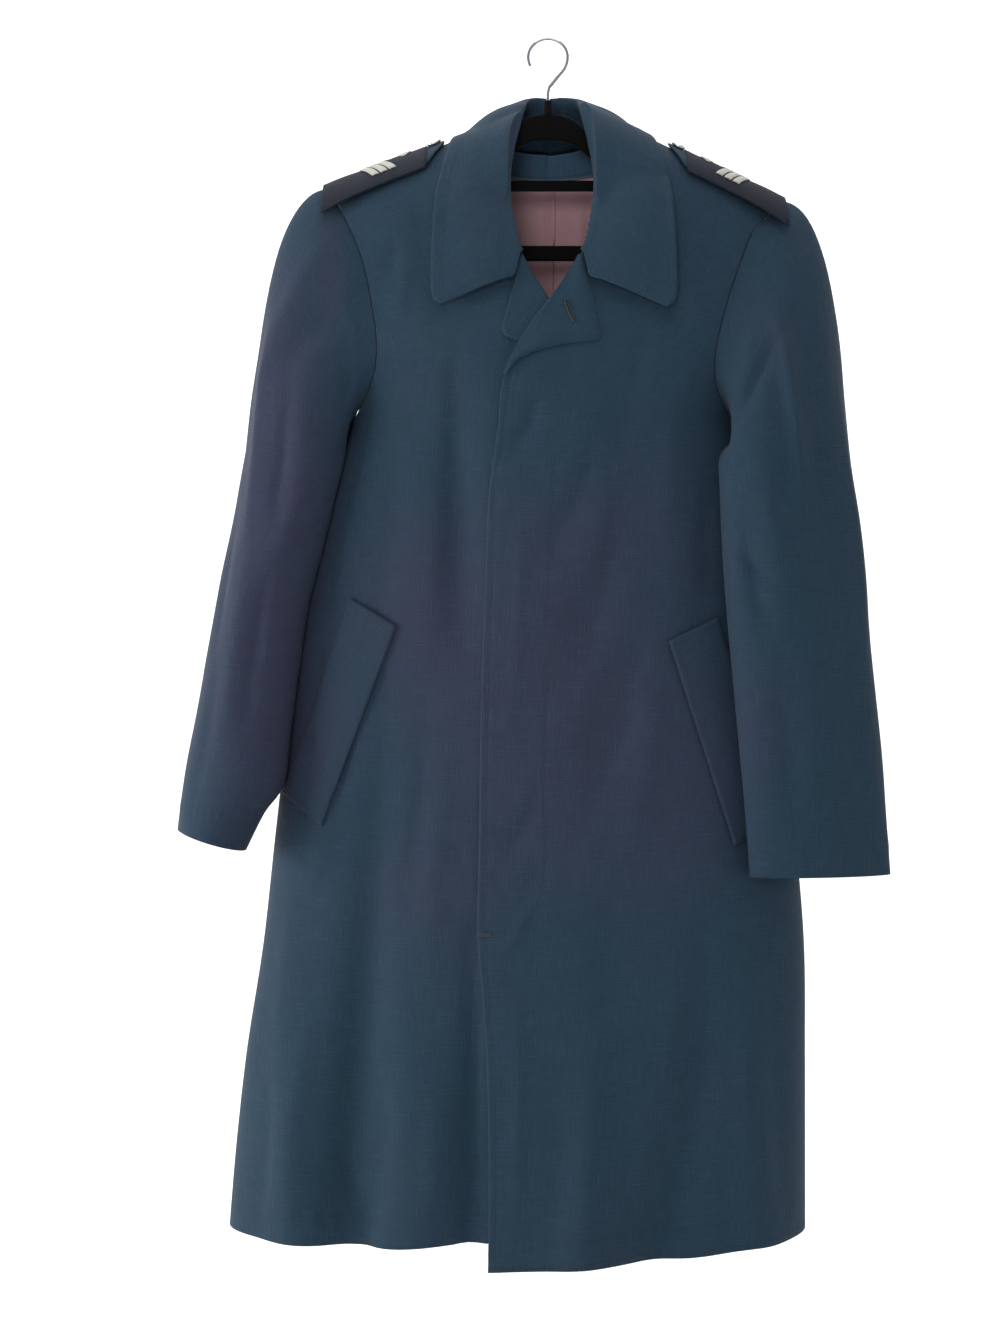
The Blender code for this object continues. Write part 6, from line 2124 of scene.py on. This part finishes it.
@dataclass
class Hanger:
    """The flocked frame with its tie bar and nub, and the wire hook."""

    edge_round: float = 1.6

    def outline(self) -> tuple:
        """The frame's outline, once round.

        Returns:
            The outer and the inner line, as rows of x and z.
        """
        halves = {}
        for side in (1, -1):
            outer = [(side * x, top) for x, top, _ in FRAME_CENTRE]
            inner = [(side * x, foot) for x, _, foot in FRAME_CENTRE]
            for x in FRAME_ARM_X:
                seat = float(shoulder_z(side * x)) - CLOTH - ARM_SEAT
                top = min(seat, -95.0 - 0.3 * (x - 60)) if x < 90 else seat
                outer.append((side * x, top))
                inner.append((side * (x - 4), top - FRAME_ARM_HEIGHT))
            last = outer[-1][1]
            outer += [(side * (FRAME_END_X - 4), last - 9), (side * FRAME_END_X, last - 26),
                      (side * FRAME_END_X, FRAME_BAR_FOOT + 7), (side * (FRAME_END_X - 7), FRAME_BAR_FOOT)]
            inner += [(side * (FRAME_END_X - 14), last - 33), (side * (FRAME_END_X - 13), last - 37),
                      (side * (FRAME_END_X - 13), FRAME_BAR_TOP + 3),
                      (side * (FRAME_END_X - 16), FRAME_BAR_TOP)]
            for x in (150, 100, 50, 0):
                outer.append((side * x, FRAME_BAR_FOOT))
                inner.append((side * x, FRAME_BAR_TOP))
            halves[side] = (np.array(outer), np.array(inner))
        loops = []
        for which in (0, 1):
            right, left = halves[1][which], halves[-1][which]
            arch = smooth_path(np.concatenate([left[7:0:-1], right[:8]]), np.linspace(0, 1, 60))
            loops.append(np.concatenate([arch, right[8:], left[-2:7:-1]]))
        return loops[0], loops[1]

    def lay(self, finishes: Finishes) -> None:
        """Makes the frame from its outline and dresses the nub, the tie bar and the hook.

        Args:
            finishes: the coat's finishes.
        """
        outer, inner = self.outline()
        builder = bmesh.new()
        loops = []
        for line in (outer, inner):
            loops.append([builder.verts.new((x * MM, -FRAME_HALF_THICK * MM, z * MM)) for x, z in line])
        edges = [builder.edges.new(pair) for loop in loops for pair in zip(loop, loop[1:] + loop[:1])]
        filled = bmesh.ops.triangle_fill(builder, use_beauty=True, use_dissolve=False, edges=edges)
        faces = [item for item in filled["geom"] if isinstance(item, bmesh.types.BMFace)]
        grown = bmesh.ops.extrude_face_region(builder, geom=faces)
        moved = [item for item in grown["geom"] if isinstance(item, bmesh.types.BMVert)]
        bmesh.ops.translate(builder, verts=moved, vec=(0, 2 * FRAME_HALF_THICK * MM, 0))
        bmesh.ops.recalc_face_normals(builder, faces=builder.faces[:])
        made = put_object("hanger_frame_flocked", builder, (finishes.flock,), 50)
        rim = made.modifiers.new("rounded", "BEVEL")
        rim.width = self.edge_round * MM
        rim.segments = 3
        rim.limit_method = "ANGLE"
        rim.angle_limit = math.radians(50)
        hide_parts("hanger_frame")
        for node, finish in (("hanger_nub", finishes.flock), ("hanger_tie_bar", finishes.flock),
                             ("hanger_hook", finishes.wire)):
            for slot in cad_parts[node].material_slots:
                slot.material = finish


class Sewing:
    """Lays visible stitches along lines on the cloth, each a short rounded length of thread."""

    def __init__(self, finishes: Finishes) -> None:
        """Keeps the thread's finish."""
        self.finishes = finishes

    def run(self, name: str, lines: Sequence, pitch: float = STITCH_PITCH, length: float = STITCH_LENGTH,
            width: float = STITCH_WIDTH) -> None:
        """Lays stitches along several lines.

        Args:
            name: the piece's name.
            lines: pairs of points and normals along each line, in millimetres.
            pitch: from one stitch to the next.
            length: of the thread that shows.
            width: across it.
        """
        builder = bmesh.new()
        for points, normals in lines:
            points, normals = np.array(points), np.array(normals)
            far = lengths_along(points)
            for at in np.arange(pitch / 2, far[-1], pitch):
                point = np.array([np.interp(at, far, points[:, k]) for k in range(3)])
                ahead = np.array([np.interp(min(at + 1, far[-1]), far, points[:, k]) for k in range(3)])
                behind = np.array([np.interp(max(at - 1, 0), far, points[:, k]) for k in range(3)])
                up = np.array([np.interp(at, far, normals[:, k]) for k in range(3)])
                way = ahead - behind
                way /= max(np.linalg.norm(way), 1e-6)
                up -= way * np.dot(up, way)
                up /= max(np.linalg.norm(up), 1e-6)
                side = np.cross(up, way)
                made = bmesh.ops.create_uvsphere(builder, u_segments=6, v_segments=4, radius=1.0)
                for vert in made["verts"]:
                    x, y, z = vert.co
                    lift = y * STITCH_THICK / 2 + STITCH_LIFT
                    vert.co = (point + z * length / 2 * way + x * width / 2 * side + lift * up) * MM
        bmesh.ops.recalc_face_normals(builder, faces=builder.faces[:])
        made = put_object(name, builder, (self.finishes.thread,), 60)

    @staticmethod
    def along_rows(panel: Panel, start: float, end: float, inset: float, count: int = 300) -> tuple:
        """A line down a panel, beside its last column.

        Args:
            panel: the cloth.
            start: where it starts, as a share of the rows.
            end: where it ends.
            inset: how far in from the last column.
            count: how many points it gets.

        Returns:
            Its points and its normals.
        """
        rows, columns = panel.grid.shape[0] - 1, panel.grid.shape[1]
        reach = np.linspace(columns - 12, columns - 1.001, 24)
        points, normals = [], []
        for row in np.linspace(start * rows, end * rows, count):
            far = lengths_along(np.array([panel.at(row, c) for c in reach]))
            column = np.interp(far[-1] - inset, far, reach)
            points.append(panel.at(row, column))
            normals.append(panel.at(row, column, 1.0) - points[-1])
        return points, normals

    @staticmethod
    def along_columns(panel: Panel, start: float, end: float, inset: float, at_end: bool = True,
                      count: int = 220) -> tuple:
        """A line across a panel, beside its last row or its first.

        Args:
            panel: the cloth.
            start: where it starts, as a share of the columns.
            end: where it ends.
            inset: how far in from the row.
            at_end: True for the last row, False for the first.
            count: how many points it gets.

        Returns:
            Its points and its normals.
        """
        rows, columns = panel.grid.shape[0] - 1, panel.grid.shape[1] - 1
        reach = np.linspace(rows - 14, rows - 0.001, 28) if at_end else np.linspace(14, 0, 28)
        points, normals = [], []
        for column in np.linspace(start * columns, end * columns, count):
            far = lengths_along(np.array([panel.at(r, column) for r in reach]))
            row = np.interp(far[-1] - inset, far, reach)
            points.append(panel.at(row, column))
            normals.append(panel.at(row, column, 1.0) - points[-1])
        return points, normals

    @staticmethod
    def on_front_line(seen: Sequence, side: int, lift: float, count: int = 120) -> tuple:
        """A line through points as seen, laid on a front.

        Args:
            seen: pairs of x and z as seen.
            side: the front's side.
            lift: above the front's face.
            count: how many points it gets.

        Returns:
            Its points and its normals.
        """
        route = smooth_path(seen, np.linspace(0, 1, count))
        points, normals = [], []
        for x, z in route:
            point = on_front(x, z, side)
            points.append(point + (0, -float(rumple(point[0], point[2], side)) - lift, 0))
            normals.append((0, -1.0, 0))
        return points, normals


class Studio:
    """The pale floor and backdrop, the soft lights and the camera."""

    FLOOR_Z = -1.34
    FLOOR_FRONT, FLOOR_HALF_WIDTH, WALL_Y, BEND = -3.0, 4.5, 2.6, 0.6  # in metres
    REACH, FLAT_REACH, BEND_REACH = 7.5, 3.6, 0.95  # of the sheet, its flat part and its bend
    LENS, SENSOR = 59.4, 36.0  # in millimetres
    # Each light's name, place and aim in metres, side in metres and power in watts
    LIGHTS = (
        ("key", (-2.8, -0.7, -0.45), (0.0, 0.0, -0.65), 1.5, 92),
        ("front", (-0.5, -2.9, -0.1), (0.0, 0.0, -0.6), 0.8, 29),
        ("fill", (2.4, -1.2, -0.7), (0.0, 0.0, -0.7), 1.6, 15),
        ("top", (0.0, -0.4, 1.6), (0.0, 0.0, -0.4), 1.6, 21),
        ("back_left", (-1.4, 1.5, -0.2), (0.0, 0.1, -0.6), 1.2, 10),
        ("back_right", (1.5, 1.5, 0.1), (0.0, 0.1, -0.6), 1.2, 10),
        ("neck", (0.0, -0.5, 0.35), (0.0, 0.03, -0.1), 0.25, 0.7),
        ("wall", (0.0, 1.0, 1.4), (0.0, 2.6, -1.2), 1.8, 46),
    )

    def build(self) -> None:
        """Makes the room, the lights and the camera."""
        self.room()
        for lamp in self.LIGHTS:
            self.light(*lamp)
        world = bpy.data.worlds.new("soft_room")
        world.use_nodes = True
        world.node_tree.nodes["Background"].inputs[0].default_value = (0.86, 0.9, 0.95, 1)
        world.node_tree.nodes["Background"].inputs[1].default_value = 0.4
        bpy.context.scene.world = world
        bpy.context.scene.view_settings.view_transform = "Standard"
        self.camera()

    def room(self) -> None:
        """A pale floor that rises into a pale wall behind the coat."""
        builder = bmesh.new()
        made = bmesh.ops.create_grid(builder, x_segments=2, y_segments=40, size=1.0)
        start = self.WALL_Y - self.BEND
        for vert in made["verts"]:
            reach = (vert.co.y + 1) / 2 * self.REACH
            if reach < self.FLAT_REACH:
                y, z = self.FLOOR_FRONT + reach * (start - self.FLOOR_FRONT) / self.FLAT_REACH, 0.0
            elif reach < self.FLAT_REACH + self.BEND_REACH:
                turn = (reach - self.FLAT_REACH) / self.BEND_REACH * math.pi / 2
                y, z = start + self.BEND * math.sin(turn), self.BEND * (1 - math.cos(turn))
            else:
                y, z = self.WALL_Y, self.BEND + reach - self.FLAT_REACH - self.BEND_REACH
            vert.co = (vert.co.x * self.FLOOR_HALF_WIDTH, y, z + self.FLOOR_Z)
        bmesh.ops.recalc_face_normals(builder, faces=builder.faces[:])
        mesh = bpy.data.meshes.new("studio_floor")
        builder.to_mesh(mesh)
        builder.free()
        finish, _, shader = new_material("pale_studio_paper")
        shader.inputs["Base Color"].default_value = linear("F4F4F3")
        shader.inputs["Roughness"].default_value = 0.9
        mesh.materials.append(finish)
        mesh.shade_smooth()
        floor = bpy.data.objects.new("studio_floor", mesh)
        bpy.context.scene.collection.objects.link(floor)

    def light(self, name: str, place: tuple, aim: tuple, size: float, power: float) -> None:
        """A soft square light.

        Args:
            name: its name.
            place: where it stands, in metres.
            aim: what it points at.
            size: its side.
            power: in watts.
        """
        lamp = bpy.data.lights.new(name, "AREA")
        lamp.energy = power
        lamp.size = size
        lamp.color = (1.0, 0.99, 0.97)
        made = bpy.data.objects.new(name, lamp)
        made.location = place
        way = np.array(aim) - np.array(place)
        made.rotation_euler = Vector(way).to_track_quat("-Z", "Y").to_euler()
        made.visible_camera = False
        bpy.context.scene.collection.objects.link(made)

    def camera(self) -> None:
        """The camera at the photograph's place, level, looking at the coat's front."""
        lens = bpy.data.cameras.new("camera")
        lens.lens = self.LENS
        lens.sensor_width = self.SENSOR
        made = bpy.data.objects.new("camera", lens)
        made.location = tuple(EYE * MM)
        made.rotation_euler = (math.pi / 2, 0, 0)
        bpy.context.scene.collection.objects.link(made)
        bpy.context.scene.camera = made


class Overcoat:
    """The whole coat on its hanger, built piece by piece."""

    def __init__(self) -> None:
        """Makes the finishes and the parts' builders."""
        self.finishes = Finishes()
        self.fronts = {
            Side.RIGHT: Front(Side.RIGHT, "under_front_cloth", "under_front"),
            Side.LEFT: Front(Side.LEFT, "over_front_cloth", "over_front"),
        }
        self.back = Back()
        self.sleeves = {side: Sleeve(side) for side in Side}
        self.lapels = {Side.RIGHT: Lapel(Side.RIGHT, "under"), Side.LEFT: Lapel(Side.LEFT, "over")}
        self.welts = {side: PocketWelt(side) for side in Side}
        self.collar = Collar()
        self.neck = NeckInside()

    def build(self) -> None:
        """Lays the cloth, then dresses and sews it."""
        for front in self.fronts.values():
            front.lay(self.finishes)
        self.back.lay(self.finishes)
        for side, sleeve in self.sleeves.items():
            sleeve.lay(self.finishes, self.fronts[side].panel, self.back.panel)
            self.welts[side].lay(self.finishes)
            self.lapels[side].lay(self.finishes)
            ShoulderStrap(side).lay(self.finishes)
        self.collar.lay(self.finishes)
        self.neck.lay(self.finishes)
        Hanger().lay(self.finishes)
        self.sew()

    def sew(self) -> None:
        """All visible stitching."""
        sewing = Sewing(self.finishes)
        over, under = self.fronts[Side.LEFT].panel, self.fronts[Side.RIGHT].panel
        roll_end = ARMHOLE_ROWS / (ARMHOLE_ROWS + SKIRT_ROWS)
        sewing.run("over_front_edge_stitches", [
            Sewing.along_rows(over, roll_end * 0.86, 1.0, EDGE_STITCH, 500),
            Sewing.along_columns(over, 0.02, 1.0, HEM_STITCH),
            Sewing.along_columns(over, 0.02, 1.0, HEM_EDGE_STITCH),
        ])
        sewing.run("under_front_hem_stitches", [Sewing.along_columns(under, 0.02, 1.0, HEM_STITCH)])
        sewing.run("back_hem_stitches", [Sewing.along_columns(self.back.panel, 0.02, 0.98, HEM_STITCH)])
        sewing.run("fly_stitches", [Sewing.on_front_line(FLY_LINE, 1, 0.2, 200)])
        tack = Sewing.on_front_line(TACK_LINE, 1, 0.5, 12)
        sewing.run("fly_tack", [tack], TACK_PITCH, TACK_LENGTH, TACK_WIDTH)
        facing = self.neck.facing
        line = [facing.at(k, FACING_STITCH_ROW) for k in np.linspace(1, 58, 80)]
        sewing.run("neck_facing_stitches", [(line, np.tile((0, -1.0, 0), (len(line), 1)))])
        seam = Sewing.on_front_line(POCKET_SEAM, -1, 0.1, 60)
        sewing.run("pocket_seam_stitches", [seam], SEAM_PITCH, SEAM_LENGTH, SEAM_WIDTH)
        collar = self.collar.panel
        sewing.run("collar_stitches", [
            Sewing.along_rows(collar, 0.035, 0.965, LEAF_STITCH, 520),
            self.leaf_end(collar, False),
            self.leaf_end(collar, True),
        ])
        for lapel in self.lapels.values():
            line = Sewing.along_rows(lapel.panel, 0.02, 0.98, LAPEL_STITCH)
            sewing.run(f"{lapel.word}_lapel_stitches", [line])
        for side, welt in self.welts.items():
            panel = welt.panel
            lines = []
            for inset in WELT_STITCHES:
                lines += [Sewing.along_columns(panel, 0.03, 0.97, inset, at_end) for at_end in (True, False)]
            lines.append(Sewing.along_rows(panel, 0.02, 0.98, WELT_SIDE_STITCH))
            sewing.run(f"{side.word}_pocket_welt_stitches", lines)
        self.buttonhole()

    def leaf_end(self, collar: Panel, last: bool) -> tuple:
        """The line of stitches inside one of the collar's front ends.

        Args:
            collar: the collar's cloth.
            last: True for the end at its last row.

        Returns:
            Its points and its normals.
        """
        share = self.collar.roll_share
        return Sewing.along_columns(collar, min(share + 0.08, 0.9), 0.88, LEAF_END_STITCH, last)

    def buttonhole(self) -> None:
        """The worked buttonhole in the over lapel: a dark slot in a raised ring of thread."""
        way = np.array(HOLE_WAY) / math.hypot(*HOLE_WAY)
        across = np.array((-way[1], way[0]))
        route = []
        for turn in np.linspace(0, 2 * np.pi, 60):
            c, s = math.cos(turn), math.sin(turn)
            wide = HOLE_HALF_WIDTH * (HOLE_EYE if c < -0.75 else 1.0)
            x, z = np.array(HOLE_CENTRE) + way * HOLE_HALF_LENGTH * c + across * wide * s
            route.append(on_front(x, z, 1, HOLE_LIFT))
        rope("buttonhole_thread", route, HOLE_THREAD, self.finishes.twist)


def plain(bounds: Sequence) -> list:
    """A box's corners as lists of numbers."""
    return [[float(value) for value in corner] for corner in bounds]


def main() -> None:
    """Builds the studio and the coat."""
    logging.basicConfig(level=logging.INFO, format="%(name)s: %(message)s")
    Studio().build()
    Overcoat().build()


if __name__ == "__main__":
    main()
